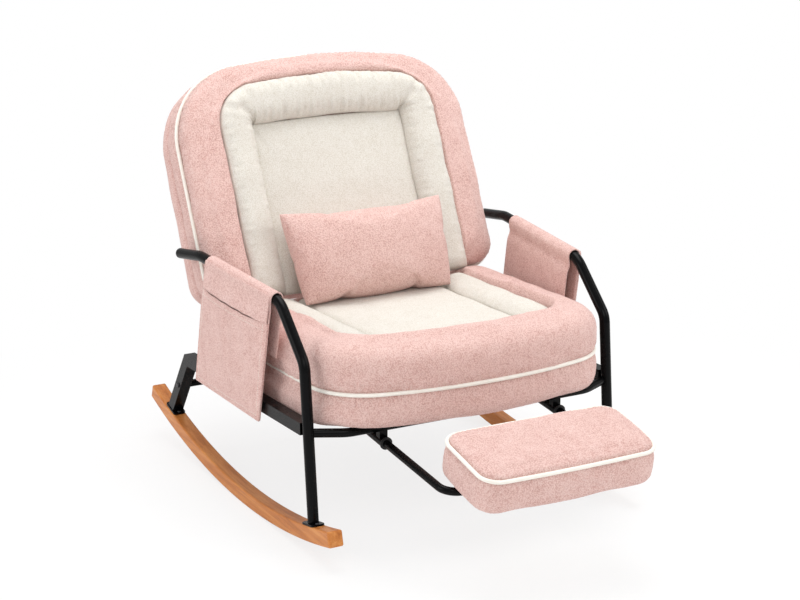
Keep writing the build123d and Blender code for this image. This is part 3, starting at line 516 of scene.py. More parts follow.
def cast(mesh, *modifiers):
    """Runs modifiers on a mesh and returns the plain result."""
    obj = bpy.data.objects.new("cast", mesh)
    scene.collection.objects.link(obj)
    for kind, settings in modifiers:
        made = obj.modifiers.new(kind, kind)
        for key, value in settings.items():
            setattr(made, key, value)
    result = plain_mesh(obj)
    bpy.data.objects.remove(obj)
    return result


# Cords and stitches laid along a path by node groups
def node_group(name, inputs):
    """Starts a node group with the named inputs, and gives the makers of its nodes and its end."""
    tree = bpy.data.node_groups.new(name, "GeometryNodeTree")
    tree.interface.new_socket("Path", in_out="INPUT", socket_type="NodeSocketGeometry")
    for label, kind in inputs:
        tree.interface.new_socket(label, in_out="INPUT", socket_type=f"NodeSocket{kind}")
    tree.interface.new_socket("Made", in_out="OUTPUT", socket_type="NodeSocketGeometry")
    source = tree.nodes.new("NodeGroupInput")

    def node(kind, values, **settings):
        made = tree.nodes.new(kind)
        for key, value in settings.items():
            setattr(made, key, value)
        for key, value in values.items():
            if isinstance(value, str):
                tree.links.new(source.outputs[value], made.inputs[key])
            elif isinstance(value, bpy.types.Node):
                tree.links.new(value.outputs[0], made.inputs[key])
            else:
                made.inputs[key].default_value = value
        return made

    def close(last):
        real = node("GeometryNodeRealizeInstances", {"Geometry": last})
        painted = node("GeometryNodeSetMaterial", {"Geometry": real, "Material": "Finish"})
        target = tree.nodes.new("NodeGroupOutput")
        tree.links.new(painted.outputs[0], target.inputs["Made"])
        return tree

    return node, close


def cord_group():
    """A round cord swept along the path."""
    inputs = [("Thickness", "Float"), ("Sides", "Int"), ("Finish", "Material")]
    node, close = node_group("cord_on_path", inputs)
    curve = node("GeometryNodeMeshToCurve", {"Mesh": "Path"})
    section = node("GeometryNodeCurvePrimitiveCircle", {"Resolution": "Sides", "Radius": "Thickness"})
    swept = {"Curve": curve, "Profile Curve": section, "Fill Caps": True}
    return close(node("GeometryNodeCurveToMesh", swept))


def stitch_group():
    """Small long beads of thread, spaced along the path and turned to follow it."""
    inputs = [("Spacing", "Float"), ("Size", "Vector"), ("Finish", "Material")]
    node, close = node_group("stitches_on_path", inputs)
    curve = node("GeometryNodeMeshToCurve", {"Mesh": "Path"})
    spots = node("GeometryNodeResampleCurve", {"Curve": curve, "Length": "Spacing"}, mode="LENGTH")
    way = node("GeometryNodeInputTangent", {})
    turn = node("FunctionNodeAlignRotationToVector", {"Vector": way}, axis="Z")
    bead = node("GeometryNodeMeshIcoSphere", {"Radius": 1.0, "Subdivisions": 1})
    sewn = {"Points": spots, "Instance": bead, "Rotation": turn, "Scale": "Size"}
    return close(node("GeometryNodeInstanceOnPoints", sewn))


GROUPS = {"cord": cord_group(), "stitch": stitch_group()}


def along_path(name, group, paths, closed, slot, body, **inputs):
    """Runs a node group over one or more paths and keeps the plain mesh."""
    points, links = [], []
    for path in paths:
        first, count = len(points), len(path)
        points.extend(path)
        links.extend((first + i, first + i + 1) for i in range(count - 1))
        if closed:
            links.append((first + count - 1, first))
    obj = bpy.data.objects.new("path", mesh_of(name, points, [], links))
    scene.collection.objects.link(obj)
    made = obj.modifiers.new("along", "NODES")
    made.node_group = GROUPS[group]
    inputs["Finish"] = FINISHES[slot]
    for item in GROUPS[group].interface.items_tree:
        if item.in_out == "INPUT" and item.name in inputs:
            made[item.identifier] = inputs[item.name]
    obj.update_tag()
    result = plain_mesh(obj)
    bpy.data.objects.remove(obj)
    return new_piece(name, outward(result), slot, body)


CORD_INSET = 0.0042
CORD_RADIUS = 0.0040
CORD_SIDES = 10


def piping(piece, place, height, body):
    """The closed piping cord round a cushion, at the height of its seam."""
    ring = outline(piece, CORD_INSET)
    path = place.world(np.column_stack([ring, np.full(len(ring), height)]))
    sizes = {"Thickness": CORD_RADIUS, "Sides": CORD_SIDES}
    made = along_path(f"{piece}_piping_cord", "cord", [path], True, "ivory_piping", body, **sizes)
    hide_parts(f"{piece}_piping")


# Filled covers
def inflate(mesh, pressure, cap, frames=20, stiff=30.0):
    """Fills a closed cover with air and stops every point within the cap."""
    start = coords(mesh)
    obj = bpy.data.objects.new("filling", mesh)
    scene.collection.objects.link(obj)
    cloth = obj.modifiers.new("fill", "CLOTH")
    cloth.settings.use_pressure = True
    cloth.settings.uniform_pressure_force = pressure
    cloth.settings.effector_weights.gravity = 0.0
    cloth.settings.quality = 4
    cloth.settings.tension_stiffness = stiff
    cloth.settings.compression_stiffness = stiff
    cloth.settings.bending_stiffness = 0.6
    cloth.collision_settings.use_collision = False
    cloth.point_cache.frame_start, cloth.point_cache.frame_end = 1, frames
    for number in range(1, frames + 1):
        scene.frame_set(number)
    end = coords(plain_mesh(obj))
    bpy.data.objects.remove(obj)
    scene.frame_set(1)
    move = end - start
    size = np.linalg.norm(move, axis=1, keepdims=True).clip(1e-9)
    return start + move * np.minimum(1.0, cap / size)


SEAM_NEAR = 0.035
GATHER_REACH = 2.2
GATHER_ONSET = 2.2


def sew(local, ring, height, reach, groove, gather, pitch, seed):
    """Draws a cover in along a seam and gathers it on both sides of the cord."""
    middle = ring.mean(axis=0)
    onward = np.roll(ring, -1, axis=0) - np.roll(ring, 1, axis=0)
    inward = np.column_stack([-onward[:, 1], onward[:, 0]])
    inward /= np.linalg.norm(inward, axis=1, keepdims=True)
    inward *= np.sign(np.sum(inward * (middle - ring), axis=1))[:, None]
    tree = KDTree(len(ring))
    for number, (x, y) in enumerate(ring):
        tree.insert((x, y, 0.0), number)
    tree.balance()
    draw = np.random.default_rng(seed)
    run = length_along(ring)
    waver = sum(np.sin(run / size + draw.uniform(0, 6.28)) for size in (0.021, 0.034, 0.055))
    gathers = np.sin(TURN * run / pitch + 1.6 * waver)
    for number in np.where(np.abs(local[:, 2] - height) < GATHER_REACH * reach)[0]:
        x, y, z = local[number]
        _, k, gap = tree.find((x, y, 0.0))
        if gap < SEAM_NEAR:
            off = abs(z - height) / reach
            draw_in = groove * max(0.0, 1 - off * off) ** 2
            fade = max(0.0, 1 - (off / GATHER_REACH) ** 2) * min(1.0, off * GATHER_ONSET)
            local[number, :2] += inward[k] * (draw_in + gather * gathers[k] * fade)
    return local


def cushion(node, slot, body, place, shape, voxel, seed, wobble=1.2, air=4.0, room=0.004, cap=0.010):
    """A filled cover made from its frame solid: remeshed, drawn in, blown up, then sewn."""
    mesh = cast(node_copy(node), ("REMESH", {"mode": "VOXEL", "voxel_size": voxel}))
    set_coords(mesh, relax(coords(mesh), edges(mesh), 4))
    if air:
        start, way = coords(mesh), normals(mesh)
        set_coords(mesh, start - way * room)
        end = inflate(mesh, air, cap)
        sunk = -(np.sum((end - start) * way, axis=1)).clip(None, 0.0)
        set_coords(mesh, end + way * sunk[:, None])
    set_coords(mesh, relax(coords(mesh), edges(mesh), 3))
    mesh = cast(mesh, SMOOTHED)
    points = place.world(shape(place.local(rippled(mesh, seed, 0.11, wobble * MM))))
    return soft_piece(f"{node}_cover", mesh, points, slot, body, seed, node)


def press_down(local, inside, floor, within=0.016):
    """Holds the cover of a sunk place down under the parts that lie in it."""
    held = inside & (local[:, 2] > floor) & (local[:, 2] < floor + within)
    local[held, 2] = floor
    return local


def roll_section(top, under=10):
    """Shares across a roll's section, over its top and back below it, and which lie below."""
    across = np.concatenate([np.linspace(0, 1, top), np.linspace(1, 0, under)[1:-1]])
    return across, np.arange(len(across)) >= top


def round_end(gap, reach):
    """Share of a roll's height this near to its end, which closes as a quarter circle."""
    share = min(1.0, gap / reach)
    return math.sqrt(share * (2 - share))


# Seat: pink box cushion, cream panel and two cream rolls
RECESS_HALF = 0.222
RECESS_FRONT = 0.02
RECESS_REAR = 0.415
RECESS_FLOOR = -0.0095
RAIL_FACE = 0.3270
SEAT_PANEL_HALF = 0.17


def seat_shape(local):
    local = sew(
        local, outline("seat"), SEAT_SEAM, reach=0.018, groove=0.0012, gather=0.0012, pitch=0.013, seed=31
    )
    x, y = np.abs(local[:, 0]), local[:, 1]
    inside = (x < RECESS_HALF) & (y > RECESS_FRONT) & (y < RECESS_REAR)
    local = press_down(local, inside, RECESS_FLOOR)
    # Its lower edge lies against the side rails
    near = smooth_step(-local[:, 2], 0.068, 0.098) * smooth_step(x, 0.284, 0.302)
    near = near * smooth_step(y, -0.04, 0.06)
    local[:, 0] += np.sign(local[:, 0]) * (RAIL_FACE - x).clip(0) * near
    local[:, 2] = np.maximum(local[:, 2], SEAT_FLOOR)
    return local


def seat_panel_shape(local):
    # Tension creases fan out from the front corners, and the middle is domed
    x, y = local[:, 0], local[:, 1]
    top = smooth_step(local[:, 2], 0.006, 0.014)
    for side in (-1, 1):
        off = side * x - SEAT_PANEL_HALF
        crease = np.sin(np.arctan2(y, off) * 17) * np.exp(-np.hypot(off, y) / 0.09)
        local[:, 2] += top * 0.0011 * crease
    local[:, 2] += top * 0.004 * (1 - (x / SEAT_PANEL_HALF) ** 2).clip(0)
    return local


ROLL_INNER = 0.1665
ROLL_REAR = 0.408
ROLL_TUCK = 0.0012
ROLL_LAP = 0.001
ROLL_FOOT = 0.004
ROLL_LEAN = 0.013
ROLL_RISE = 0.0185
ROLL_FULL = 0.06
ROLL_FOLD = 0.0011
ROLL_END = 0.022
ROLL_END_AT = -0.004
ROLL_UNDER = -0.0085
ROLL_ROWS = 130
ROLL_COLUMNS = 34


def seat_roll(side, label):
    """A cream roll between the seat panel and the pink border, closing to a point in the front corner."""
    edge = outline("recess", -ROLL_TUCK)
    edge = edge[(edge[:, 0] > ROLL_INNER) & (edge[:, 1] < ROLL_REAR)]
    edge = edge[np.argsort(edge[:, 0] + 4 * edge[:, 1])]
    outer, spots = spaced(edge, ROLL_ROWS)
    front = outer[0, 1]
    along = front + (ROLL_REAR - front) * (spots / spots[-1]) ** 1.25
    inner = np.column_stack([np.full(ROLL_ROWS, ROLL_INNER - ROLL_LAP), along])
    across, under = roll_section(ROLL_COLUMNS)
    dome = (1 - np.abs(2 * across - 1) ** 2.4).clip(0) ** 0.55
    seam = np.exp(-((across / 0.25) ** 2))
    folds = np.sin(spots * TURN / 0.031 + np.sin(spots / 0.05)) + 0.7 * np.sin(spots * TURN / 0.019)
    rows = []
    for k in range(ROLL_ROWS):
        wide = np.linalg.norm(outer[k] - inner[k])
        rise = ROLL_RISE * min(1.0, wide / ROLL_FULL) ** 0.7
        height = ROLL_FOOT + ROLL_LEAN * across + rise * dome + ROLL_FOLD * folds[k] * seam * dome
        height = ROLL_END_AT + (height - ROLL_END_AT) * round_end(spots[-1] - spots[k], ROLL_END)
        flat = inner[k] + (outer[k] - inner[k]) * across[:, None]
        rows.append(np.column_stack([flat[:, 0] * side, flat[:, 1], np.where(under, ROLL_UNDER, height)]))
    mesh = cast(skin(f"{label}_seat_roll", seat_place, rows), SMOOTHED)
    points = rippled(mesh, 7, 0.09, 0.9 * MM)
    soft_piece(f"{label}_seat_roll_cover", mesh, points, "cream_fabric", "base", 7, f"{label}_seat_roll")


cushion("seat_cushion", "pink_fabric", "base", seat_place, seat_shape, voxel=0.007, seed=3)
cushion(
    "seat_panel", "cream_fabric", "base", seat_place, seat_panel_shape, voxel=0.006, seed=5,
    wobble=0.8, air=0,
)
seat_roll(1, "right")
seat_roll(-1, "left")
piping("seat", seat_place, SEAT_SEAM, "base")


# Back: pink cushion and rear cover, cream bolster and cream panel
HOLLOW_HALF = 0.238
HOLLOW_LOW = 0.012
HOLLOW_TOP = 0.436
HOLLOW_FLOOR = 0.0215


def back_shape(local):
    local = sew(
        local, outline("back"), BACK_SEAM, reach=0.016, groove=0.0012, gather=0.0014, pitch=0.014, seed=37
    )
    x, y = np.abs(local[:, 0]), local[:, 1]
    return press_down(local, (x < HOLLOW_HALF) & (y > HOLLOW_LOW) & (y < HOLLOW_TOP), HOLLOW_FLOOR)


COVER_FROM = 0.0585
COVER_DEEP = 0.060
COVER_WALL = 0.006
COVER_HOLLOW = 0.024
COVER_BULGE = 0.003
COVER_MIDDLE = np.array((0.0, 0.25))
COVER_COLUMNS = 400
# The rounded side from its front lip to its rear face: depth and inset in millimetres
COVER_SIDE = ((0, 8), (4, 4), (14, 1), (28, 2), (42, 8), (52, 18), (58, 32), (60, 46))


def cover_loop(depth, inset, share=1.0):
    """One loop of the rear cover: the back's outline drawn in, at a depth behind the cushion."""
    ring = outline("back", inset)
    flat, _ = spaced(np.concatenate([ring, ring[:1]]), COVER_COLUMNS, endpoint=False)
    height = BACK_SEAM - COVER_FROM - depth - COVER_BULGE * (1 - share**2)
    return np.column_stack([COVER_MIDDLE + (flat - COVER_MIDDLE) * share, np.full(COVER_COLUMNS, height)])


def back_cover():
    """The rear cover: a shell of padded cloth, hollow where the back frame lies in it."""
    floor = COVER_DEEP - COVER_WALL
    rows = [cover_loop(floor, COVER_HOLLOW, share) for share in np.linspace(0.02, 1.0, 14)]
    rows += [cover_loop(depth, COVER_HOLLOW) for depth in (0.045, 0.030, 0.012, 0.0)]
    side = np.array(COVER_SIDE, float) * MM
    for _ in range(2):
        cut = np.stack([side[:-1] * 0.75 + side[1:] * 0.25, side[:-1] * 0.25 + side[1:] * 0.75], axis=1)
        side = np.concatenate([side[:1], cut.reshape(-1, 2), side[-1:]])
    rows += [cover_loop(depth, inset) for depth, inset in side]
    rows += [cover_loop(COVER_DEEP, side[-1, 1], share) for share in np.linspace(0.97, 0.02, 36)]
    mesh = skin("back_cover", back_place, rows)
    points = rippled(mesh, 13, 0.11, 1.0 * MM)
    soft_piece("back_cover_cloth", mesh, points, "pink_fabric", "backrest", 13, "back_cover")


BOLSTER_HALF = 0.2600
BOLSTER_WIDE = 0.080
BOLSTER_TOP = 0.4590
BOLSTER_TALL = 0.088
BOLSTER_FOOT = -0.004
BOLSTER_BASE = 0.0255
BOLSTER_LEAN = 0.013
BOLSTER_RISE = 0.035
BOLSTER_TURN = 0.094
BOLSTER_BOW = 0.012
BOLSTER_EASE = 0.006
BOLSTER_END = 0.028
BOLSTER_COLUMNS = 40
SIDE_ROWS = 110
TURN_ROWS = 34
TOP_ROWS = 120
INNER_HALF = BOLSTER_HALF - BOLSTER_WIDE
INNER_TOP = BOLSTER_TOP - BOLSTER_TALL


def bolster_rails():
    """Matching points along the roll's outer and inner edge, and the length run so far."""
    turn_x, turn_y = BOLSTER_TURN - BOLSTER_HALF, BOLSTER_TOP - BOLSTER_TURN
    pairs = []
    for t in np.linspace(0, 1, SIDE_ROWS, endpoint=False):
        up = BOLSTER_FOOT + (INNER_TOP - BOLSTER_FOOT) * t
        out = BOLSTER_FOOT + (turn_y - BOLSTER_FOOT) * t
        pairs.append(((-BOLSTER_HALF, out), (-INNER_HALF, up)))
    for t in np.linspace(0, 1, TURN_ROWS, endpoint=False):
        turn = math.pi * (1 - t / 2)
        out = (turn_x + BOLSTER_TURN * math.cos(turn), turn_y + BOLSTER_TURN * math.sin(turn))
        pairs.append((out, (-INNER_HALF + BOLSTER_EASE * t, INNER_TOP + 0.002 * math.sin(math.pi * t))))
    left = pairs[:]
    for t in np.linspace(0, 1, TOP_ROWS):
        s = 2 * t - 1
        bow = BOLSTER_BOW * (1 - s**2)
        inner = ((INNER_HALF - BOLSTER_EASE) * s, INNER_TOP + bow * 0.4)
        pairs.append(((-turn_x * s, BOLSTER_TOP + bow), inner))
    pairs += [((-a[0], a[1]), (-b[0], b[1])) for a, b in reversed(left)]
    outer, inner = np.array([a for a, _ in pairs]), np.array([b for _, b in pairs])
    return outer, inner, length_along((outer + inner) / 2)


def bolster():
    """The cream roll round the back panel: mitred at the top corners and gathered along its seams."""
    outer, inner, run = bolster_rails()
    draw = np.random.default_rng(41)
    mitre = SIDE_ROWS + TURN_ROWS // 2
    fade_from, fade_to = SIDE_ROWS - 10, SIDE_ROWS + 15
    top_share = smooth_step(run, run[fade_from], run[fade_to])
    top_share = top_share * smooth_step(-run, -run[-fade_from], -run[-fade_to])
    across, under = roll_section(BOLSTER_COLUMNS)
    dome = (1 - np.abs(2 * across - 1) ** 2.7).clip(0) ** 0.52
    seams = np.exp(-((across / 0.22) ** 2)) + 0.8 * np.exp(-(((1 - across) / 0.24) ** 2))
    inner_part = 1 - smooth_step(across, 0.5, 0.8)
    folds = np.zeros(len(run))
    for size, share in ((0.016, 1.0), (0.027, 0.9), (0.048, 0.8)):
        waver = 1.5 * np.sin(run / 0.09 + draw.uniform(0, 6.28))
        folds = folds + share * np.sin(run * TURN / size + waver)
    rows = []
    for k in range(len(run)):
        gather = (0.0010 + 0.0032 * top_share[k]) * folds[k]
        height = BOLSTER_RISE * (0.92 + 0.10 * top_share[k]) * dome + gather * seams * dome
        for corner in (mitre, len(run) - 1 - mitre):
            off = (run[k] - run[corner]) / 0.010
            height = height * (1 - 0.17 * math.exp(-off * off) * inner_part)
        height = height * (0.25 + 0.75 * round_end(min(run[k], run[-1] - run[k]), BOLSTER_END))
        height = np.where(under, 0.0, BOLSTER_LEAN * across + height)
        flat = inner[k] + (outer[k] - inner[k]) * across[:, None]
        rows.append(np.column_stack([flat, BOLSTER_BASE + height]))
    mesh = cast(skin("back_bolster", back_place, rows), SMOOTHED)
    points = rippled(mesh, 19, 0.09, 1.1 * MM)
    soft_piece("back_bolster_cover", mesh, points, "cream_fabric", "backrest", 19, "back_bolster")


def two_faces(front, rear, rows, columns):
    """Points and faces of a front and a rear grid that face away from each other."""
    faces = quads(rows, columns)
    faces += [tuple(len(front) + i for i in reversed(f)) for f in faces]
    return np.concatenate([front, rear]), faces


PANEL_LAP = 0.005
PANEL_TOP_LAP = 0.006
PANEL_FRONT = 0.0245
PANEL_REAR = 0.0185
PANEL_SPOTS = 100


def back_panel():
    """The cream panel inside the bolster, pulled down all round its seam."""
    half, low, top = INNER_HALF + PANEL_LAP, BOLSTER_FOOT, INNER_TOP + PANEL_TOP_LAP
    grid_x, grid_y = np.meshgrid(np.linspace(-half, half, PANEL_SPOTS), np.linspace(low, top, PANEL_SPOTS))
    below = top - grid_y
    edge = np.minimum(half - np.abs(grid_x), np.minimum(below, grid_y - low))
    rise = 0.0100 * (1 - np.exp(-edge / 0.018)) + 0.0025
    crease = np.zeros_like(rise)
    for side in (-1, 1):
        off = half - side * grid_x
        fan = np.sin(np.arctan2(below, off) * 15) * np.exp(-np.hypot(off, below) / 0.07)
        crease += 0.0010 * fan * np.minimum(1, edge / 0.01)
    crease += 0.0007 * np.sin(grid_x * TURN / 0.017) * np.exp(-below / 0.02)
    front = np.column_stack([grid_x.ravel(), grid_y.ravel(), (PANEL_FRONT + rise + crease).ravel()])
    rear = front.copy()
    rear[:, 2] = PANEL_REAR
    points, faces = two_faces(front, rear, PANEL_SPOTS, PANEL_SPOTS)
    count = len(front)
    spot = np.arange(count).reshape(PANEL_SPOTS, PANEL_SPOTS)
    rim = np.concatenate([spot[0], spot[1:, -1], spot[-1, -2::-1], spot[-2:0:-1, 0]]).tolist()
    faces += [(a, b, count + b, count + a) for a, b in zip(rim, rim[1:] + rim[:1])]
    mesh = outward(mesh_of("back_panel", back_place.world(points), faces))
    points = rippled(mesh, 17, 0.12, 0.8 * MM)
    soft_piece("back_panel_cover", mesh, points, "cream_fabric", "backrest", 17, "back_panel")


cushion("back_cushion", "pink_fabric", "backrest", back_place, back_shape, voxel=0.007, seed=11)
back_cover()
piping("back", back_place, BACK_SEAM, "backrest")
bolster()
back_panel()


# Footrest pad
def pad_shape(local):
    local = sew(
        local, outline("footrest"), PAD_SEAM, reach=0.014, groove=0.0008, gather=0.0009, pitch=0.012, seed=43
    )
    local[:, 2] = np.maximum(local[:, 2], PAD_UNDER + 0.2 * MM)
    return local


cushion(
    "footrest_cushion", "pink_fabric", "footrest_pad", pad_place, pad_shape, voxel=0.005, seed=23,
    wobble=1.0, air=2.0, room=0.003, cap=0.006,
)
piping("footrest", pad_place, PAD_SEAM, "footrest_pad")


# Lumbar pillow: two panels sewn edge to edge and filled
PILLOW_CUT = (0.400, 0.222)
PILLOW_START = 0.060
PILLOW_COLUMNS = 92
PILLOW_ROWS = 54
PILLOW_HALF = 0.192
PILLOW_FOOT = 0.174
PILLOW_LOW = -0.044
PILLOW_TOP = 0.156
PILLOW_OUT = 0.104
PILLOW_BACK = 0.0368
PILLOW_THICK = 0.136
PILLOW_SAG = 0.012


def pillow_cover():
    """The loose pillow: blown up, then set to its size where it leans on the back."""
    xs, ys = (np.linspace(-c / 2, c / 2, n) for c, n in zip(PILLOW_CUT, (PILLOW_COLUMNS, PILLOW_ROWS)))
    grid_x, grid_y = np.meshgrid(xs, ys)
    belly = (1 - (2 * grid_x / PILLOW_CUT[0]) ** 2) * (1 - (2 * grid_y / PILLOW_CUT[1]) ** 2)
    start = PILLOW_START * belly.clip(0) ** 0.45
    front = np.column_stack([grid_x.ravel(), grid_y.ravel(), start.ravel()])
    points, faces = two_faces(front, front * (1, 1, -1), PILLOW_ROWS, PILLOW_COLUMNS)
    mesh = outward(mesh_of("lumbar_pillow", points, faces))
    set_coords(mesh, inflate(mesh, pressure=5.0, cap=0.022, frames=22, stiff=12.0))
    set_coords(mesh, relax(coords(mesh), edges(mesh), 8))
    mesh = cast(mesh, SMOOTHED)
    points = coords(mesh)
    points -= (points.max(axis=0) + points.min(axis=0)) / 2
    points /= np.abs(points).max(axis=0)
    x, y, z = points.T
    share = (y + 1) / 2
    sag = PILLOW_SAG * ((1 - x**2).clip(0) * smooth_step(-y, 0.1, 0.8))
    wide = x * (PILLOW_FOOT + (PILLOW_HALF - PILLOW_FOOT) * share)
    high = PILLOW_LOW + (PILLOW_TOP - PILLOW_LOW) * share - sag
    out = np.maximum(PILLOW_OUT + z * PILLOW_THICK / 2, PILLOW_BACK)
    points = back_place.world(np.column_stack([wide, high, out]))
    soft_piece("lumbar_pillow_cover", mesh, points, "pink_fabric", "pillow", 29, "lumbar_pillow")


pillow_cover()


# Arm cloths: one sheet saddled over each arm, with a pocket and its yoke on the outer fall
def unit(vector):
    return np.array(vector, float) / np.linalg.norm(vector)


ARM_START = KNEE + (0.345, 0.108, 0.100)
ARM_WAY = unit((0.024, 0.332, 0.015))
ARM_OUT = unit((ARM_WAY[1], -ARM_WAY[0], 0.0))
ARM_UP = np.cross(ARM_OUT, ARM_WAY)
SLEEVE_FROM = 0.012
SLEEVE_TO = 0.282
SLEEVE_LONG = SLEEVE_TO - SLEEVE_FROM
OUTER_FALL = 0.266
INNER_FALL = 0.130
FALL_SLANT = 0.042 / 0.266
SADDLE = 0.0132
ARCH = math.pi * SADDLE
SLEEVE_ROUND = OUTER_FALL + ARCH + INNER_FALL
CLOTH = 0.0026
MOUTH = 0.052
MOUTH_SAG = 0.0040
POCKET_SWELL = 0.0100
YOKE_OVER = 0.008
APART = 0.0006
HEM = 0.0017
BINDING = 0.0026
HEM_SIDES = 8
THREAD_PROUD = 0.0002
STITCH_SPACING = 0.0052
STITCH_SIZE = (0.0005, 0.0005, 0.0019)
sleeve_spots = np.linspace(SLEEVE_FROM, SLEEVE_TO, 84)


def on_arm(along, out, up, side):
    """Points beside an arm: along it, outwards from it and above it. What hangs slants to the rear."""
    along = along - up * FALL_SLANT * (up < 0)
    spot = ARM_START + np.multiply.outer(along, ARM_WAY) + np.multiply.outer(out, ARM_OUT)
    spot = spot + np.multiply.outer(up, ARM_UP)
    return spot * (side, 1, 1)


def waves(along, *parts):
    """Sum of sine waves along the arm, each with its length, start and share."""
    return sum(np.sin(along * TURN / length + start) * share for length, start, share in parts)


def sleeve_line(along, run):
    """Out and up of the arm cloth's middle at one place along it, from its outer hem to its inner hem."""
    out, up = np.zeros_like(run), np.zeros_like(run)
    outer, inner = run < OUTER_FALL, run >= OUTER_FALL + ARCH
    over = ~outer & ~inner
    drop = (OUTER_FALL - run[outer]).clip(0)
    tuck = np.exp(-(((drop - 0.026) / 0.013) ** 2))
    sway = waves(along, (0.105, 0.6, 0.7), (0.061, 2.0, 0.4))
    out[outer] = SADDLE - 0.0012 * tuck + 0.0010 * sway * (drop / OUTER_FALL) ** 1.5
    up[outer] = -drop
    turn = (run[over] - OUTER_FALL) / SADDLE
    out[over], up[over] = SADDLE * np.cos(turn), SADDLE * np.sin(turn)
    drop = (run[inner] - OUTER_FALL - ARCH).clip(0)
    tuck = np.exp(-(((drop - 0.022) / 0.012) ** 2))
    sway = waves(along, (0.13, 1.1, 0.8), (0.07, 0.0, 0.4))
    out[inner] = -SADDLE + 0.0042 * tuck + 0.0016 * sway * (drop / INNER_FALL) ** 1.4
    up[inner] = -drop
    return out, up


def sleeve_share(along):
    return np.clip((along - SLEEVE_FROM) / SLEEVE_LONG, 0, 1)


def pocket_out(along, fall):
    """How far the pocket stands off the arm's middle line: sewn at its edges, open at its mouth."""
    share = sleeve_share(along)
    depth = np.clip((OUTER_FALL - fall) / (OUTER_FALL - MOUTH), 0, 1)
    swell = np.sin(math.pi * share) ** 0.55 * (1 - (1 - depth) ** 2.4)
    crease = 0.0009 * np.sin(along * TURN / 0.047 + 3 * fall / 0.1) * np.sin(math.pi * share) * depth
    return SADDLE + CLOTH + APART + POCKET_SWELL * swell + crease


def mouth_sag(along):
    """How far the middle of the pocket's mouth hangs open below its yoke."""
    share = sleeve_share(along)
    return MOUTH_SAG * smooth_step(share, 0.04, 0.25) * smooth_step(-share, -0.98, -0.85)


def cloth_sheet(name, rows, side):
    """A grid of points given the cloth's thickness."""
    grid = np.array(rows)
    faces = quads(*grid.shape[:2])
    if side < 0:
        faces = [tuple(reversed(f)) for f in faces]
    mesh = mesh_of(name, grid.reshape(-1, 3), faces)
    mesh = cast(mesh, ("SOLIDIFY", {"thickness": CLOTH, "offset": 0.0, "use_even_offset": True}))
    return new_piece(name, outward(mesh), "pink_fabric", "base")


def hem(name, paths, thickness):
    return along_path(name, "cord", paths, False, "pink_fabric", "base", Thickness=thickness, Sides=HEM_SIDES)


def stitches(name, paths):
    return along_path(
        name, "stitch", paths, False, "ivory_piping", "base", Spacing=STITCH_SPACING, Size=STITCH_SIZE
    )


def arm_cloth(side, label):
    """The sheet over an arm with its hems, and the stitches along its inner hem."""
    outer = np.linspace(0, OUTER_FALL, 72, endpoint=False)
    over = OUTER_FALL + np.linspace(0, ARCH, 22, endpoint=False)
    inner = OUTER_FALL + ARCH + np.linspace(0, INNER_FALL, 34)
    run = np.concatenate([outer, over, inner])
    rows = [on_arm(np.full(len(run), a), *sleeve_line(a, run), side) for a in sleeve_spots]
    sleeve = cloth_sheet(f"{label}_arm_cloth", rows, side)
    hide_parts(f"{label}_arm_sleeve")
    edge_lines = [rows[0], rows[-1], [r[-1] for r in rows], [r[0] for r in rows]]
    rim = hem(f"{label}_arm_cloth_hem", edge_lines, HEM)
    line = []
    for a in np.linspace(SLEEVE_FROM + 0.008, SLEEVE_TO - 0.008, 60):
        out, up = sleeve_line(a, np.array([SLEEVE_ROUND - 0.012]))
        line.append(on_arm(np.array([a]), out - CLOTH / 2 - THREAD_PROUD, up, side)[0])
    thread = stitches(f"{label}_arm_cloth_stitches", [line])


def side_pocket(side, label):
    """The pocket on an arm cloth's outer fall, with its binding, mouth hem and stitches, and its yoke."""
    rows = []
    for a in sleeve_spots:
        falls = np.linspace(MOUTH + mouth_sag(a), OUTER_FALL, 62)
        rows.append(on_arm(np.full(len(falls), a), pocket_out(a, falls), -falls, side))
    pocket = cloth_sheet(f"{label}_pocket_cloth", rows, -side)
    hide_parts(f"{label}_side_pocket")
    seam = list(rows[0]) + [r[-1] for r in rows[1:-1]] + list(rows[-1][::-1])
    bound = hem(f"{label}_pocket_binding", [seam], BINDING)
    mouth = hem(f"{label}_pocket_mouth_hem", [[r[0] for r in rows]], HEM)
    front, rear, low = SLEEVE_FROM + 0.009, SLEEVE_TO - 0.009, OUTER_FALL - 0.009
    under_hem, under_mouth = MOUTH + 0.014, MOUTH + 0.004
    lines = []
    for a_from, a_to, fall_from, fall_to in (
        (SLEEVE_FROM + 0.006, SLEEVE_TO - 0.006, under_hem, under_hem),
        (front, front, under_mouth, low),
        (rear, rear, under_mouth, low),
        (front, rear, low, low),
    ):
        a, fall = np.linspace(a_from, a_to, 70), np.linspace(fall_from, fall_to, 70)
        lines.append(on_arm(a, pocket_out(a, fall) + CLOTH / 2 + THREAD_PROUD, -fall, side))
    thread = stitches(f"{label}_pocket_stitches", lines)
    pocket_yoke(side, label)


def pocket_yoke(side, label):
    """The strip over the arm cloth's outer fall that the pocket's mouth opens under."""
    over, fall = np.linspace(-YOKE_OVER, 0.0, 8, endpoint=False), np.linspace(0.0, MOUTH - 0.001, 30)
    falls = np.concatenate([over, fall])
    near = np.sqrt((SADDLE + CLOTH) ** 2 - np.minimum(falls, 0.0) ** 2)
    rows = []
    for a in sleeve_spots:
        mouth = pocket_out(a, np.array([MOUTH]))[0] + APART
        out = near + (mouth - SADDLE - CLOTH) * smooth_step(falls, 0.0, MOUTH)
        rows.append(on_arm(np.full(len(falls), a), out, -falls, side))
    strip = cloth_sheet(f"{label}_pocket_yoke", rows, -side)


for side, label in ((1, "right"), (-1, "left")):
    arm_cloth(side, label)
    side_pocket(side, label)


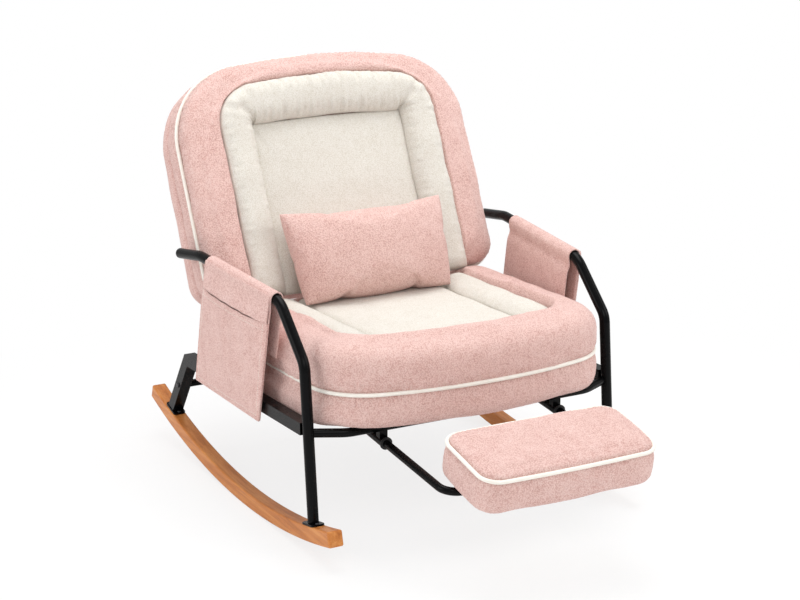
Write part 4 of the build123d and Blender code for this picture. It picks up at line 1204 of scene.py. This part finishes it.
# Camera at the photograph's viewing angle
CAMERA_AT = (-1.9213, -3.45885, 1.5657)
CAMERA_TILT = math.radians(73.8)
CAMERA_TURN = math.radians(-28.5)
CAMERA_LENS = 90.0


def camera():
    data = bpy.data.cameras.new("camera")
    data.lens = CAMERA_LENS
    data.sensor_width = 36.0
    data.clip_end = 100.0
    obj = bpy.data.objects.new("camera", data)
    obj.location = CAMERA_AT
    obj.rotation_euler = (CAMERA_TILT, 0.0, CAMERA_TURN)
    scene.collection.objects.link(obj)
    scene.camera = obj


# Studio: pale floor that fades to white, soft daylight and four large lamps
WHITE = (1.0, 1.0, 1.0, 1.0)
DAYLIGHT = 0.62
FLOOR_REACH = 9.0
FLOOR_GREY = (0.93, 0.93, 0.93, 1.0)
FADE_FROM = 0.50
FADE_TO = 1.40
FADE_LEAST = 0.78
LAMP_AIM = Vector((0, 0, 0.4))
# Each lamp's place, power in watts and width
LAMPS = {
    "key": ((-1.1, -2.8, 2.8), 28.0, 1.8),
    "fill": ((2.4, -1.7, 2.5), 35.0, 2.2),
    "side": ((-2.8, 0.4, 1.3), 18.0, 1.6),
    "top": ((0.2, 0.5, 3.2), 53.0, 2.0),
}


def daylight():
    """A soft sky that the camera sees as plain white."""
    world = bpy.data.worlds.new("studio")
    scene.world = world
    world.use_nodes = True
    nodes, links = world.node_tree.nodes, world.node_tree.links
    sky, white = nodes["Background"], nodes.new("ShaderNodeBackground")
    for shader, strength in ((sky, DAYLIGHT), (white, 1.0)):
        shader.inputs["Color"].default_value = WHITE
        shader.inputs["Strength"].default_value = strength
    path, mix = nodes.new("ShaderNodeLightPath"), nodes.new("ShaderNodeMixShader")
    links.new(path.outputs["Is Camera Ray"], mix.inputs[0])
    links.new(sky.outputs[0], mix.inputs[1])
    links.new(white.outputs[0], mix.inputs[2])
    links.new(mix.outputs[0], nodes["World Output"].inputs["Surface"])


def pale_floor():
    """A floor that keeps the chair's shadow near it and fades to white further out."""
    corners = [(x * FLOOR_REACH, y * FLOOR_REACH, 0) for x, y in ((-1, -1), (1, -1), (1, 1), (-1, 1))]
    mesh = mesh_of("floor", corners, [(0, 1, 2, 3)])
    floor = bpy.data.objects.new("floor", mesh)
    scene.collection.objects.link(floor)
    made = Finish("pale_floor", Base_Color=FLOOR_GREY, Roughness=0.9, Specular_IOR_Level=0.1)
    far = made.node("ShaderNodeVectorMath", {"operation": "LENGTH"}, made.place, out=1)
    smooth = {"interpolation_type": "SMOOTHSTEP"}
    fade = made.node("ShaderNodeMapRange", smooth, far, FADE_FROM, FADE_TO, FADE_LEAST, 1.0)
    glow, blend = made.nodes.new("ShaderNodeEmission"), made.nodes.new("ShaderNodeMixShader")
    glow.inputs["Strength"].default_value = 1.0
    path = made.nodes.new("ShaderNodeLightPath")
    share = fade * Wire(made, path.outputs["Is Camera Ray"])
    made.links.new(share.socket, blend.inputs[0])
    made.links.new(made.shader.outputs[0], blend.inputs[1])
    made.links.new(glow.outputs[0], blend.inputs[2])
    made.links.new(blend.outputs[0], made.nodes["Material Output"].inputs["Surface"])
    mesh.materials.append(made.material)


def lamps():
    for name, (place, power, size) in LAMPS.items():
        lamp = bpy.data.lights.new(name, "AREA")
        lamp.energy, lamp.size = power, size
        obj = bpy.data.objects.new(name, lamp)
        obj.location = place
        obj.rotation_euler = (LAMP_AIM - Vector(place)).to_track_quat("-Z", "Y").to_euler()
        scene.collection.objects.link(obj)


camera()
daylight()
pale_floor()
lamps()
scene.view_settings.view_transform = "Standard"
